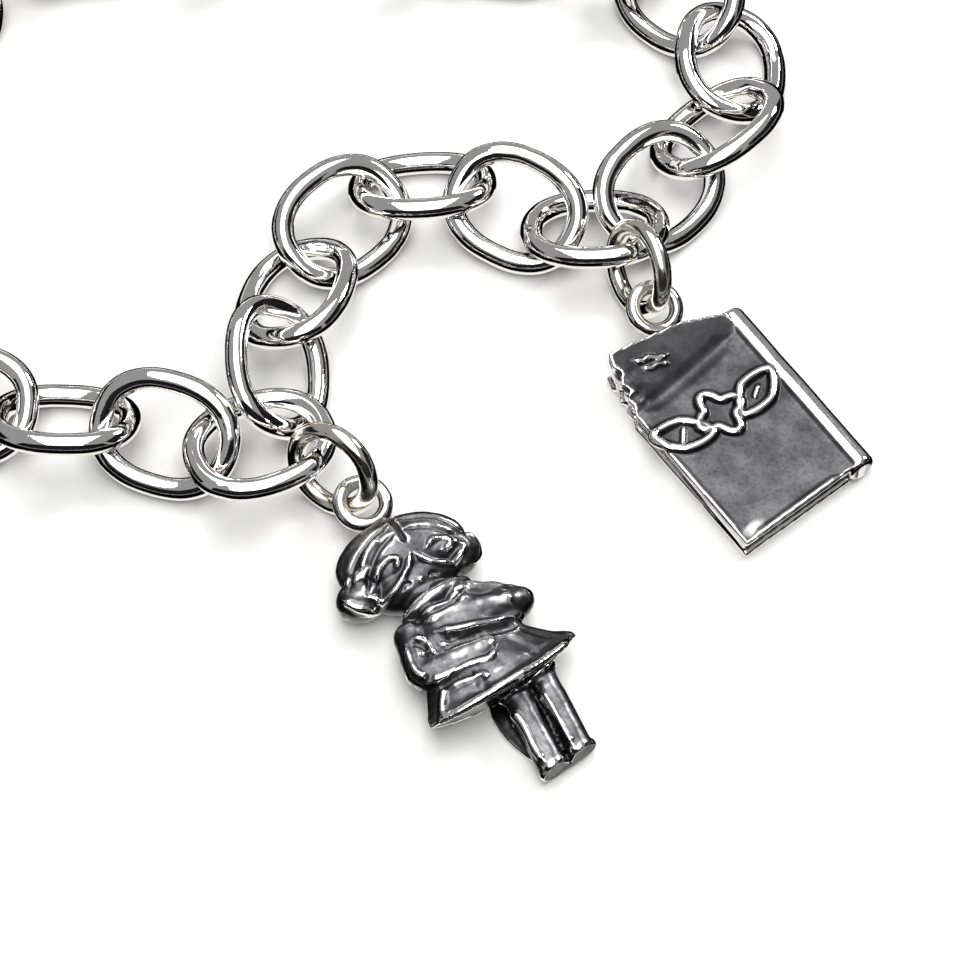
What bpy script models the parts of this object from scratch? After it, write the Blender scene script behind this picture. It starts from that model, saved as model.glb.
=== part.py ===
"""Charm bracelet: a closed loop of oval cable links with a plain clasp, two jump rings and two cast charms.

It lies on the plane z = 0. The origin is under the middle of the whole bracelet.
"""

import math

import bmesh
import bpy
import numpy as np
from mathutils import Matrix, Vector

COLLECTION = "charm_bracelet"
MM = 0.001

# Chain links
LINK_LENGTH = 11.5 * MM
LINK_WIDTH = 9.5 * MM
LINK_WIRE = 1.7 * MM
LINK_SQUARENESS = 2.3
PITCH = LINK_LENGTH - 2 * LINK_WIRE

# Jump rings
JUMP_RING_DIAMETER = 7.8 * MM
JUMP_RING_WIRE = 1.4 * MM

# Bail rings, soldered to the charms
BAIL_DIAMETER = 4.5 * MM
BAIL_WIRE = 1.1 * MM
BAIL_SINK = 0.05 * MM
SOLDER_WIDTH = 1.7 * MM
SOLDER_LENGTH = 1.36 * MM
SOLDER_THICKNESS = 1.21 * MM
SOLDER_RISE = 0.22 * MM

# Clasp
CLASP_LENGTH = 15.0 * MM
CLASP_WIDTH = 8.4 * MM
CLASP_RIM = 2.2 * MM
CLASP_THICKNESS = 2.2 * MM
CLASP_BEVEL = 0.5 * MM
CLASP_SQUARENESS = 2.6
CLASP_SLACK = 0.2 * MM
CLASP_LEAN = -28.0

# Figure charm
FIGURE_HEIGHT = 24.0 * MM
FIGURE_DEPTH = 5.2 * MM
HEAD_WIDTH = 11.6 * MM
HEAD_HEIGHT = 7.0 * MM
HEM_WIDTH = 13.2 * MM
HEM_SAG = 1.0 * MM
LEG_WIDTH = 1.9 * MM
HEAD_TILT = -11.0
HEAD_CENTRE = (0.02, 0.440)
FIGURE_BACK_CUT = 0.35 * MM
FIGURE_BAIL_OFFSET = 0.5 * MM
FIGURE_BAIL_HEIGHT = 0.50
FIGURE_BAIL_TILT = 12.0
FIGURE_TURN = 36.0

# Book charm
BOOK_LENGTH = 16.2 * MM
BOOK_WIDTH = 10.9 * MM
BOOK_THICKNESS = 2.0 * MM
COVER_THICKNESS = 0.5 * MM
PAGE_INSET = 0.35 * MM
SPINE_DIAMETER = 2.3 * MM
SPINE_SHIFT = 0.46 * MM
SPINE_OVERHANG = 0.3 * MM
SPINE_BEVEL = 0.29 * MM
FLAP_ANGLE = 20.0
RELIEF_WIRE = 0.7 * MM
RELIEF_SIZE = 4.0 * MM
RELIEF_LIFT = 0.1 * MM
BOOK_BAIL_ACROSS = 0.40
BOOK_BAIL_HEIGHT = 1.35
BOOK_BAIL_TILT = 20.0
BOOK_TURN = 34.5

# Numbers of sides and steps
LINK_SEGMENTS = 16
WIRE_SIDES = 6
BAIL_SEGMENTS = 20
BAIL_SIDES = 8
RELIEF_SIDES = 6
CLASP_SEGMENTS = 24
LOFT_SEGMENTS = 32
LIMB_STEPS = 8
SPINE_SIDES = 16
ROUTE_STEPS = 24
FIGURE_GRAIN = 0.22 * MM
FIGURE_FACES = 3600
SMOOTH_ANGLE = math.radians(40.0)
WELD = 0.0001 * MM

# How the loose rings come to rest
WIRE_GAP = 0.3 * MM
CLASP_MARGIN = 0.33 * MM
SETTLE_STEPS = 160
SETTLE_SAMPLES = 40
OUTLINE_SAMPLES = 480
FALL_STEP = 0.03 * MM
PUSH_SHIFT = 0.6
PUSH_TURN = 0.4

# The route of the chain. x and y are shares of the taut pitch, and lift is a share of the wire above the
# table. Angles are degrees: nose lifts a link's leading end, and lean its left-hand side.
VISIBLE_LINKS = (
    # x, y, lift, turn, nose, lean
    (-4.80, 0.55, 0.0, -4.0, 0.0, 35.0),
    (-3.90, 0.48, 0.0, 0.0, 0.0, -25.0),
    (-2.96, 0.25, 0.0, -24.0, 0.0, 35.0),
    (-2.03, 0.16, 0.5, 26.0, 0.0, 14.0),
    (-1.90, 1.08, 0.0, 100.0, 12.0, 40.0),
    (-1.74, 2.02, 0.0, 75.0, -12.0, -14.0),
    (-1.37, 2.78, 0.0, 42.0, 0.0, 30.0),
    (-0.61, 3.20, 0.0, 3.0, 0.0, -27.0),
    (0.19, 2.88, 0.0, -32.0, 0.0, 40.0),
    (1.02, 2.66, 0.0, 0.0, 0.0, -22.0),
    (1.67, 3.06, 0.0, 45.0, 0.0, 44.0),
    (2.30, 3.78, 0.0, 33.0, 0.0, -25.0),
    (2.54, 4.64, 0.0, 80.0, 0.0, 35.0),
)
HIDDEN_ROUTE = (
    (2.36, 5.26),
    (1.60, 5.88),
    (0.55, 6.24),
    (-1.00, 6.30),
    (-2.80, 6.33),
    (-4.26, 6.36),
    (-5.22, 5.98),
    (-5.56, 5.00),
    (-5.44, 3.85),
    (-5.42, 2.50),
    (-5.50, 1.28),
)
HIDDEN_BEFORE_CLASP = 6
HIDDEN_AFTER_CLASP = 6
HIDDEN_LEAN = 35.0

# How each charm hangs: the link that its jump ring passes through, then the way and the reach from the link
# to the ring and from the ring to the bail, and the ring's own turn and lean. Ways, turns and leans are
# degrees, and a reach is a share of the distance at which the two pull taut.
HANGING = {
    # link, ring way, ring reach, bail way, bail reach, turn, lean
    "figure": ("link_04", -33.0, 1.115, -29.8, 0.967, -45.0, 50.0),
    "book": ("link_10", -45.1, 0.853, -72.3, 1.050, -60.0, 78.0),
}

# The coat from collar to hem: height is a share of the figure's height above the waist
COAT_SECTIONS = (
    # height, width, depth, sag
    (0.285, 0.30, 0.50, 0.0),
    (0.240, 0.52, 0.70, 0.0),
    (0.160, 0.60, 0.78, 0.0),
    (0.060, 0.68, 0.80, 0.1),
    (-0.020, 0.83, 0.84, 0.4),
    (-0.075, 0.98, 0.88, 0.8),
    (-0.095, 1.00, 0.90, 1.0),
    (-0.120, 0.98, 0.88, 1.0),
)

# Limbs: both ends as shares of the hem width, the figure's height and its depth, and two radii as shares of
# the leg width
LIMBS = {
    "left_leg": ((-0.06, -0.11, 0.42), (-0.110, -0.350, 0.36), 0.52, 0.46),
    "right_leg": ((0.105, -0.11, 0.42), (0.130, -0.345, 0.36), 0.52, 0.46),
    "upper_sleeve": ((-0.255, 0.200, 0.50), (-0.335, 0.085, 0.56), 0.66, 0.66),
    "forearm": ((-0.325, 0.070, 0.60), (0.035, 0.030, 0.72), 0.64, 0.56),
    "cape": ((0.150, 0.215, 0.52), (0.420, 0.100, 0.48), 0.92, 0.50),
    "cape_fold": ((-0.020, 0.215, 0.60), (0.300, 0.135, 0.60), 0.70, 0.55),
}

# Rounded lumps: centre as shares of width, height and depth, then radii in the same way
LUMPS = {
    "left_shoe": ((-0.115, -0.375, 0.36), (0.082, 0.032, 0.30)),
    "right_shoe": ((0.135, -0.368, 0.36), (0.082, 0.032, 0.30)),
    "leg_web": ((0.015, -0.240, 0.22), (0.095, 0.150, 0.16)),
    "rough_lump": ((-0.175, -0.200, 0.24), (0.080, 0.075, 0.20)),
    "neck": ((0.010, 0.300, 0.42), (0.160, 0.075, 0.32)),
}

# The head, in its own frame: centre and radii as shares of the head's width and height and the figure's
# depth
HEAD_LUMPS = {
    "hair": ((0.01, 0.06, 0.48), (0.435, 0.44, 0.50)),
    "face": ((0.0, -0.27, 0.42), (0.310, 0.27, 0.42)),
    "left_curl": ((-0.385, -0.24, 0.42), (0.120, 0.18, 0.30)),
    "right_curl": ((0.400, -0.16, 0.42), (0.110, 0.19, 0.30)),
    "left_lock": ((-0.215, -0.10, 0.70), (0.200, 0.12, 0.19)),
    "right_lock": ((0.180, -0.12, 0.72), (0.210, 0.11, 0.17)),
}

# The book's outline from the foot of the spine round the fore edge, as shares of its width and length. The
# last three points are its top edge.
BOOK_OUTLINE = (
    (0.0, 0.0),
    (-0.985, -0.055),
    (-1.0, 0.784),
    (-0.965, 0.830),
    (-0.985, 0.862),
    (-0.930, 0.900),
    (-0.965, 0.940),
    (-0.910, 0.985),
    (-0.945, 1.020),
    (-0.920, 1.085),
    (-0.330, 1.060),
    (0.0, 1.0),
)
CREASE_ENDS = ((-1.0, 0.780), (0.0, 0.905))

# Raised ornaments on the cover: kind, turn in degrees, and place across as a share of the width
RELIEFS = (
    ("leaf", 152.0, 0.83),
    ("flower", 97.0, 0.52),
    ("leaf", 28.0, 0.21),
)
RELIEF_ROW = 0.575
LEAF_LENGTH = 1.15
LEAF_WIDTH = 0.62
LEAF_POINT = 1.45
LEAF_STEPS = 22
PETALS = 4
PETAL_DEPTH = 0.20
FLOWER_STEPS = 32


def rotation(turn, nose, lean):
    """Turn about Z, then lift the front end by nose and the left side by lean, in degrees."""
    steps = (
        Matrix.Rotation(math.radians(turn), 3, "Z"),
        Matrix.Rotation(math.radians(-nose), 3, "Y"),
        Matrix.Rotation(math.radians(lean), 3, "X"),
    )
    return np.array(steps[0] @ steps[1] @ steps[2])


def oval(length, width, count, squareness=2.0):
    """Points around a rounded oval in its own plane."""
    points = []
    for step in range(count):
        angle = 2 * math.pi * step / count
        along = math.copysign(abs(math.cos(angle)) ** (2 / squareness), math.cos(angle))
        across = math.copysign(abs(math.sin(angle)) ** (2 / squareness), math.sin(angle))
        points.append((length / 2 * along, width / 2 * across, 0.0))
    return points


class Ring:
    """A closed loop of wire with its place, used to settle the chain."""

    def __init__(self, name, outer, wire, squareness, place, angles, lift=0.0, fixed=False):
        self.name = name
        self.wire = wire
        self.size = (outer[0] - wire, outer[1] - wire)
        self.squareness = squareness
        self.fixed = fixed
        self.shape = np.array(oval(*self.size, SETTLE_SAMPLES, squareness))
        self.outline = np.array(oval(*self.size, OUTLINE_SAMPLES, squareness))
        self.turn = rotation(*angles)
        self.centre = np.array(place, dtype=float)
        if len(place) == 2:
            height = wire / 2 - self.shape.dot(self.turn.T)[:, 2].min()
            self.centre = np.array((place[0], place[1], height + lift))

    def points(self):
        return self.shape.dot(self.turn.T) + self.centre

    def push(self, point, move):
        """Shift and turn the ring so that the point gives way by the move."""
        if self.fixed:
            return
        arm = point - self.centre
        reach = max(arm.dot(arm), (self.wire / 2) ** 2)
        self.centre = self.centre + PUSH_SHIFT * move
        spin = PUSH_TURN * np.cross(arm, move) / reach
        angle = np.linalg.norm(spin)
        if angle > 0:
            turn = Matrix.Rotation(angle, 3, Vector(spin / angle))
            self.turn = np.array(turn).dot(self.turn)

    def matrix(self):
        return Matrix.Translation(Vector(self.centre)) @ Matrix(self.turn.tolist()).to_4x4()


def part_rings(first, second):
    """Push two rings apart where their wires come closer than the gap."""
    one = first.points()
    two = second.points()
    away = one[:, None, :] - two[None, :, :]
    distance = np.sqrt((away ** 2).sum(axis=2))
    i, j = np.unravel_index(distance.argmin(), distance.shape)
    short = (first.wire + second.wire) / 2 + WIRE_GAP - distance[i, j]
    if short <= 0:
        return
    move = away[i, j] / distance[i, j] * short
    share = 1.0 if first.fixed or second.fixed else 0.5
    first.push(one[i], move * share)
    second.push(two[j], -move * share)


def settle(rings):
    """Let the rings come to lie on the table, clear of each other."""
    pairs = []
    for index, first in enumerate(rings):
        for second in rings[index + 1:]:
            reach = (max(first.size) + max(second.size)) / 2 + LINK_WIRE
            if np.linalg.norm((first.centre - second.centre)[:2]) < reach:
                pairs.append((first, second))
    for step in range(SETTLE_STEPS):
        for ring in rings:
            points = ring.points()
            lowest = points[:, 2].argmin()
            drop = ring.wire / 2 - points[lowest, 2]
            if drop > 0:
                ring.push(points[lowest], np.array((0.0, 0.0, drop)))
            elif step < SETTLE_STEPS / 2 and not ring.fixed:
                ring.centre[2] += max(drop, -FALL_STEP)
        for first, second in pairs:
            part_rings(first, second)
    for ring in rings:
        lowest = ring.centre[2] + ring.outline.dot(ring.turn.T)[:, 2].min()
        if not ring.fixed:
            ring.centre[2] += max(0.0, ring.wire / 2 - lowest)


def spline(points, count):
    """A smooth curve through the points, with count steps to each span."""
    ends = [2 * points[0] - points[1]] + list(points) + [2 * points[-1] - points[-2]]
    out = []
    for p0, p1, p2, p3 in zip(ends, ends[1:], ends[2:], ends[3:]):
        for step in range(count):
            t = step / count
            out.append(0.5 * (2 * p1 + (p2 - p0) * t + (2 * p0 - 5 * p1 + 4 * p2 - p3) * t ** 2
                              + (3 * p1 - p0 - 3 * p2 + p3) * t ** 3))
    out.append(points[-1])
    return np.array(out)


def hidden_poses():
    """Places and turns of the hidden links and the clasp, spaced along their route."""
    route = [np.array(VISIBLE_LINKS[-1][:2]), *map(np.array, HIDDEN_ROUTE), np.array(VISIBLE_LINKS[0][:2])]
    path = spline([point * PITCH for point in route], ROUTE_STEPS)
    run = np.concatenate(([0.0], np.cumsum(np.linalg.norm(np.diff(path, axis=0), axis=1))))
    clasp_pitch = (LINK_LENGTH + CLASP_LENGTH) / 2 - LINK_WIRE - CLASP_RIM - CLASP_SLACK
    steps = [PITCH] * HIDDEN_BEFORE_CLASP + [clasp_pitch] * 2 + [PITCH] * (HIDDEN_AFTER_CLASP - 1)
    stations = np.cumsum(steps) / (sum(steps) + PITCH) * run[-1]
    poses = []
    for index, station in enumerate(stations):
        x, y = (np.interp(station, run, path[:, axis]) for axis in (0, 1))
        ahead = [np.interp(station + PITCH / 4, run, path[:, axis]) for axis in (0, 1)]
        behind = [np.interp(station - PITCH / 4, run, path[:, axis]) for axis in (0, 1)]
        turn = math.degrees(math.atan2(ahead[1] - behind[1], ahead[0] - behind[0]))
        poses.append((x, y, turn))
    return poses


def make_material(name, colour, roughness):
    material = bpy.data.materials.new(name)
    material.use_nodes = True
    shader = material.node_tree.nodes["Principled BSDF"]
    shader.inputs["Base Color"].default_value = (*colour, 1.0)
    shader.inputs["Metallic"].default_value = 1.0
    shader.inputs["Roughness"].default_value = roughness
    return material


def add_object(name, data, collection, material=None, matrix=None):
    obj = bpy.data.objects.new(name, data)
    collection.objects.link(obj)
    if material is not None:
        obj.data.materials.append(material)
    if matrix is not None:
        obj.matrix_world = matrix
    return obj


def wire_curve(name, points, wire, sides):
    """A closed loop of round wire as a curve."""
    curve = bpy.data.curves.new(name, "CURVE")
    curve.dimensions = "3D"
    curve.bevel_depth = wire / 2
    curve.bevel_resolution = (sides - 4) // 2
    path = curve.splines.new("POLY")
    path.points.add(len(points) - 1)
    for point, place in zip(path.points, points):
        point.co = (*place, 1.0)
    path.use_cyclic_u = True
    path.use_smooth = True
    return curve


def mesh_from(obj):
    """A mesh of the evaluated object in world space. The object is removed."""
    graph = bpy.context.evaluated_depsgraph_get()
    mesh = bpy.data.meshes.new_from_object(obj.evaluated_get(graph))
    mesh.transform(obj.matrix_world)
    bpy.data.objects.remove(obj)
    return mesh


def step_aside(place, way, reach):
    """The point on the table at a distance and a direction in degrees from a place."""
    angle = math.radians(way)
    return (place[0] + reach * math.cos(angle), place[1] + reach * math.sin(angle))


def link_radius(way):
    """From a link's middle to its outer edge, at an angle in degrees from its length."""
    along = abs(math.cos(math.radians(way))) / (LINK_LENGTH / 2)
    across = abs(math.sin(math.radians(way))) / (LINK_WIDTH / 2)
    return (along ** LINK_SQUARENESS + across ** LINK_SQUARENESS) ** (-1 / LINK_SQUARENESS)


def ring_place(charm):
    """Where a charm's jump ring lies, beside its link."""
    link, way, share = HANGING[charm][:3]
    x, y, _, turn = VISIBLE_LINKS[int(link[-2:]) - 1][:4]
    taut = link_radius(way - turn) + JUMP_RING_DIAMETER / 2 - LINK_WIRE - JUMP_RING_WIRE
    return step_aside((x * PITCH, y * PITCH), way, share * taut)


def charm_matrix(charm, turn, bail_place, rings):
    """The place of a charm, with its bail beside its jump ring."""
    way, share = HANGING[charm][3:5]
    taut = (JUMP_RING_DIAMETER + BAIL_DIAMETER) / 2 - JUMP_RING_WIRE - BAIL_WIRE
    ring = next(ring for ring in rings if ring.name == f"{charm}_jump_ring")
    x, y = step_aside(ring.centre, way, share * taut)
    spin = Matrix.Rotation(math.radians(turn), 4, "Z")
    arm = spin @ Vector((bail_place.x, bail_place.y, 0.0))
    return Matrix.Translation(Vector((x, y, 0.0)) - arm) @ spin


def chain_rings():
    """All rings of the bracelet, lying settled before the charms hang on them."""
    outer = (LINK_LENGTH, LINK_WIDTH)
    rings = []
    for x, y, lift, *angles in VISIBLE_LINKS:
        name = f"link_{len(rings) + 1:02d}"
        place = (x * PITCH, y * PITCH)
        rings.append(Ring(name, outer, LINK_WIRE, LINK_SQUARENESS, place, angles, lift * LINK_WIRE))
    lean = -math.copysign(HIDDEN_LEAN, VISIBLE_LINKS[-1][-1])
    clasp = None
    for index, (x, y, turn) in enumerate(hidden_poses()):
        if index == HIDDEN_BEFORE_CLASP:
            size = (CLASP_LENGTH + CLASP_MARGIN, CLASP_WIDTH + CLASP_MARGIN)
            wire = max(CLASP_RIM, CLASP_THICKNESS) + CLASP_MARGIN
            clasp = Ring("clasp", size, wire, CLASP_SQUARENESS, (x, y), (turn, 0.0, CLASP_LEAN))
            continue
        name = f"link_{len(rings) + 1:02d}"
        rings.append(Ring(name, outer, LINK_WIRE, LINK_SQUARENESS, (x, y), (turn, 0.0, lean)))
        if index != HIDDEN_BEFORE_CLASP - 1:
            lean = -lean
    rings.append(clasp)
    for charm in HANGING:
        size = (JUMP_RING_DIAMETER, JUMP_RING_DIAMETER)
        turn, lean = HANGING[charm][-2:]
        angles = (turn, 0.0, lean)
        rings.append(Ring(f"{charm}_jump_ring", size, JUMP_RING_WIRE, 2.0, ring_place(charm), angles))
    settle(rings)
    return rings


def ellipsoid(mesh, centre, radii, turn=0.0):
    """Add an ellipsoid, turned about Z."""
    place = Matrix.Translation(Vector(centre)) @ Matrix.Rotation(math.radians(turn), 4, "Z")
    place = place @ Matrix.Diagonal((*radii, 1.0))
    bmesh.ops.create_uvsphere(mesh, u_segments=32, v_segments=16, radius=1.0, matrix=place)


def limb(mesh, start, end, start_radius, end_radius):
    """Add a round tapered limb, as a chain of overlapping spheres."""
    steps = LIMB_STEPS
    start = Vector(start)
    end = Vector(end)
    for step in range(steps + 1):
        share = step / steps
        radius = start_radius + (end_radius - start_radius) * share
        place = Matrix.Translation(start.lerp(end, share))
        bmesh.ops.create_uvsphere(mesh, u_segments=20, v_segments=12, radius=radius, matrix=place)


def loft(mesh, rows, width, depth, base, sag):
    """Add a closed body through oval sections: height, width share, depth share and sag share."""
    count = LOFT_SEGMENTS
    rings = []
    for height, wide, deep, hang in rows:
        ring = []
        for x, z, _ in oval(width * wide, depth * deep, count):
            drop = sag * hang * (1 - (x / (width * wide / 2)) ** 2)
            ring.append(mesh.verts.new((x, height * FIGURE_HEIGHT - drop, base + depth * deep / 2 + z)))
        rings.append(ring)
    for lower, upper in zip(rings, rings[1:]):
        for index in range(count):
            following = (index + 1) % count
            mesh.faces.new((lower[index], lower[following], upper[following], upper[index]))
    mesh.faces.new(rings[0])
    mesh.faces.new(reversed(rings[-1]))


def figure_scale(shares, width=HEM_WIDTH, height=FIGURE_HEIGHT):
    return (shares[0] * width, shares[1] * height, shares[2] * FIGURE_DEPTH)


def figure_head_matrix():
    x = HEAD_CENTRE[0] * HEM_WIDTH
    y = HEAD_CENTRE[1] * FIGURE_HEIGHT
    return Matrix.Translation((x, y, 0.0)) @ Matrix.Rotation(math.radians(HEAD_TILT), 4, "Z")


def figure_bail_place():
    """The middle of the figure's bail ring, in the figure's frame."""
    top = HEAD_LUMPS["hair"][0][1] + HEAD_LUMPS["hair"][1][1]
    y = HEAD_CENTRE[1] * FIGURE_HEIGHT + top * HEAD_HEIGHT + BAIL_DIAMETER / 2 - BAIL_SINK
    return Vector((HEAD_CENTRE[0] * HEM_WIDTH + FIGURE_BAIL_OFFSET, y, FIGURE_DEPTH * FIGURE_BAIL_HEIGHT))


def figure_matrix(rings):
    return charm_matrix("figure", FIGURE_TURN, figure_bail_place(), rings)


def bail_ring(name, matrix, place, turn, tilt):
    """The bail of a charm as a fixed ring, for settling the chain."""
    where = matrix @ place
    size = (BAIL_DIAMETER, BAIL_DIAMETER)
    return Ring(name, size, BAIL_WIRE, 2.0, tuple(where), (turn, 0.0, tilt), fixed=True)


def bail_object(name, place, tilt, collection):
    """A ring of round wire at a place, its outer side tilted up."""
    lean = Matrix.Rotation(math.radians(tilt), 3, "X")
    middle = BAIL_DIAMETER - BAIL_WIRE
    points = [lean @ Vector(point) + place for point in oval(middle, middle, BAIL_SEGMENTS)]
    obj = add_object(name, wire_curve(name, points, BAIL_WIRE, BAIL_SIDES), collection)
    return add_object(name, mesh_from(obj), collection)


def solder(place, tilt):
    """The bead of solder under a bail ring at its place."""
    mesh = bmesh.new()
    reach = BAIL_DIAMETER / 2 - SOLDER_RISE
    foot = place - Matrix.Rotation(math.radians(tilt), 3, "X") @ Vector((0.0, reach, 0.0))
    shape = Matrix.Translation(foot) @ Matrix.Diagonal((SOLDER_WIDTH, SOLDER_LENGTH, SOLDER_THICKNESS, 1.0))
    bmesh.ops.create_icosphere(mesh, subdivisions=2, radius=0.5, matrix=shape)
    data = bpy.data.meshes.new("solder")
    mesh.to_mesh(data)
    mesh.free()
    return data


def make_figure(collection, cutters, material, place):
    """The cast girl: body parts melted into one skin, with a flat back and a bail ring."""
    mesh = bmesh.new()
    loft(mesh, COAT_SECTIONS, HEM_WIDTH, FIGURE_DEPTH, 0.0, HEM_SAG)
    bmesh.ops.recalc_face_normals(mesh, faces=mesh.faces)
    for start, end, start_share, end_share in LIMBS.values():
        radii = (start_share * LEG_WIDTH, end_share * LEG_WIDTH)
        limb(mesh, figure_scale(start), figure_scale(end), *radii)
    for centre, radii in LUMPS.values():
        ellipsoid(mesh, figure_scale(centre), figure_scale(radii))
    head = bmesh.new()
    for centre, radii in HEAD_LUMPS.values():
        sizes = (HEAD_WIDTH, HEAD_HEIGHT)
        ellipsoid(head, figure_scale(centre, *sizes), figure_scale(radii, *sizes))
    head.transform(figure_head_matrix())
    head_data = bpy.data.meshes.new("figure_head")
    head.to_mesh(head_data)
    head.free()
    mesh.from_mesh(head_data)
    bail = bail_object("figure_bail", figure_bail_place(), FIGURE_BAIL_TILT, cutters)
    mesh.from_mesh(bail.data)
    bpy.data.objects.remove(bail)
    mesh.from_mesh(solder(figure_bail_place(), FIGURE_BAIL_TILT))
    data = bpy.data.meshes.new("figure_parts")
    mesh.to_mesh(data)
    mesh.free()
    skin = add_object("figure_skin", data, cutters)
    remesh = skin.modifiers.new("melt", "REMESH")
    remesh.mode = "VOXEL"
    remesh.voxel_size = FIGURE_GRAIN
    smooth = skin.modifiers.new("soften", "SMOOTH")
    smooth.iterations = 1
    data = mesh_from(skin)
    data.shade_smooth()
    data.set_sharp_from_angle(angle=SMOOTH_ANGLE)
    sides = sum(len(face.vertices) - 2 for face in data.polygons)
    figure = add_object("figure_charm", data, collection, material)
    thin = figure.modifiers.new("thin", "DECIMATE")
    thin.ratio = min(1.0, FIGURE_FACES / sides)
    block = bpy.data.meshes.new("figure_back_cutter")
    tool = bmesh.new()
    size = 2 * FIGURE_HEIGHT
    below = Matrix.Translation((0.0, 0.0, FIGURE_BACK_CUT - size / 2))
    bmesh.ops.create_cube(tool, size=size, matrix=below)
    tool.to_mesh(block)
    tool.free()
    cutter = add_object("figure_back_cutter", block, cutters)
    flat = figure.modifiers.new("flat_back", "BOOLEAN")
    flat.operation = "DIFFERENCE"
    flat.solver = "EXACT"
    flat.object = cutter
    matrix = place @ Matrix.Translation((0.0, 0.0, -FIGURE_BACK_CUT))
    figure.matrix_world = matrix
    cutter.matrix_world = matrix
    return figure


def book_top(across):
    """The height of the top edge at a share of the width, from the outline."""
    rows = sorted(BOOK_OUTLINE[-3:])
    xs = [row[0] for row in rows]
    ys = [row[1] for row in rows]
    return float(np.interp(-across, xs, ys)) * BOOK_LENGTH


def book_bail_place():
    """The middle of the book's bail ring, in the book's frame."""
    y = book_top(BOOK_BAIL_ACROSS) + BAIL_DIAMETER / 2 - BAIL_SINK
    return Vector((-BOOK_BAIL_ACROSS * BOOK_WIDTH, y, BOOK_THICKNESS * BOOK_BAIL_HEIGHT))


def book_matrix(rings):
    return charm_matrix("book", BOOK_TURN, book_bail_place(), rings)


def book_slab():
    """Two covers with the pages set back between them, and the flap bent up along its crease."""
    mesh = bmesh.new()
    outline = [Vector((x * BOOK_WIDTH, y * BOOK_LENGTH, 0.0)) for x, y in BOOK_OUTLINE]
    middle = sum(outline, Vector()) / len(outline)
    levels = (
        (0.0, 0.0),
        (COVER_THICKNESS, 0.0),
        (COVER_THICKNESS, PAGE_INSET),
        (BOOK_THICKNESS - COVER_THICKNESS, PAGE_INSET),
        (BOOK_THICKNESS - COVER_THICKNESS, 0.0),
        (BOOK_THICKNESS, 0.0),
    )
    rings = []
    for height, inset in levels:
        ring = []
        for point in outline:
            inward = (middle - point).normalized() * inset
            ring.append(mesh.verts.new(point + inward + Vector((0.0, 0.0, height))))
        rings.append(ring)
    count = len(outline)
    for lower, upper in zip(rings, rings[1:]):
        for index in range(count):
            following = (index + 1) % count
            mesh.faces.new((lower[index], lower[following], upper[following], upper[index]))
    mesh.faces.new(rings[0])
    mesh.faces.new(reversed(rings[-1]))
    ends = [Vector((x * BOOK_WIDTH, y * BOOK_LENGTH, 0.0)) for x, y in CREASE_ENDS]
    along = (ends[1] - ends[0]).normalized()
    beyond = Vector((-along.y, along.x, 0.0))
    geometry = mesh.verts[:] + mesh.edges[:] + mesh.faces[:]
    bmesh.ops.bisect_plane(mesh, geom=geometry, dist=WELD, plane_co=ends[0], plane_no=beyond)
    slope = math.tan(math.radians(FLAP_ANGLE))
    for vert in mesh.verts:
        past = (vert.co - ends[0]).dot(beyond)
        if past > 0:
            share = max(0.0, vert.co.z - COVER_THICKNESS) / (BOOK_THICKNESS - COVER_THICKNESS)
            vert.co.z += past * slope * share
    bmesh.ops.triangulate(mesh, faces=mesh.faces)
    bmesh.ops.recalc_face_normals(mesh, faces=mesh.faces)
    data = bpy.data.meshes.new("book_slab")
    mesh.to_mesh(data)
    mesh.free()
    return data


def book_spine():
    """A round rod along the spine, with softened ends."""
    mesh = bmesh.new()
    length = BOOK_LENGTH + 2 * SPINE_OVERHANG
    place = Matrix.Translation((SPINE_SHIFT, BOOK_LENGTH / 2, SPINE_DIAMETER / 2))
    place = place @ Matrix.Rotation(math.pi / 2, 4, "X")
    radius = SPINE_DIAMETER / 2
    bmesh.ops.create_cone(mesh, cap_ends=True, segments=SPINE_SIDES, radius1=radius, radius2=radius,
                          depth=length, matrix=place)
    ends = [edge for edge in mesh.edges if any(len(face.verts) > 4 for face in edge.link_faces)]
    bmesh.ops.bevel(mesh, geom=ends, offset=SPINE_BEVEL, segments=2, profile=0.5, affect="EDGES")
    data = bpy.data.meshes.new("book_spine")
    mesh.to_mesh(data)
    mesh.free()
    return data


def relief_points(kind):
    """A raised ornament's line in its own plane: a pointed leaf or a four-petalled flower."""
    if kind == "leaf":
        return oval(RELIEF_SIZE * LEAF_LENGTH, RELIEF_SIZE * LEAF_WIDTH, LEAF_STEPS, LEAF_POINT)
    points = []
    for step in range(FLOWER_STEPS):
        angle = 2 * math.pi * step / FLOWER_STEPS
        reach = RELIEF_SIZE / 2 * (1.0 + PETAL_DEPTH * (math.cos(PETALS * angle) - 1.0))
        points.append((reach * math.cos(angle), reach * math.sin(angle), 0.0))
    return points


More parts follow.
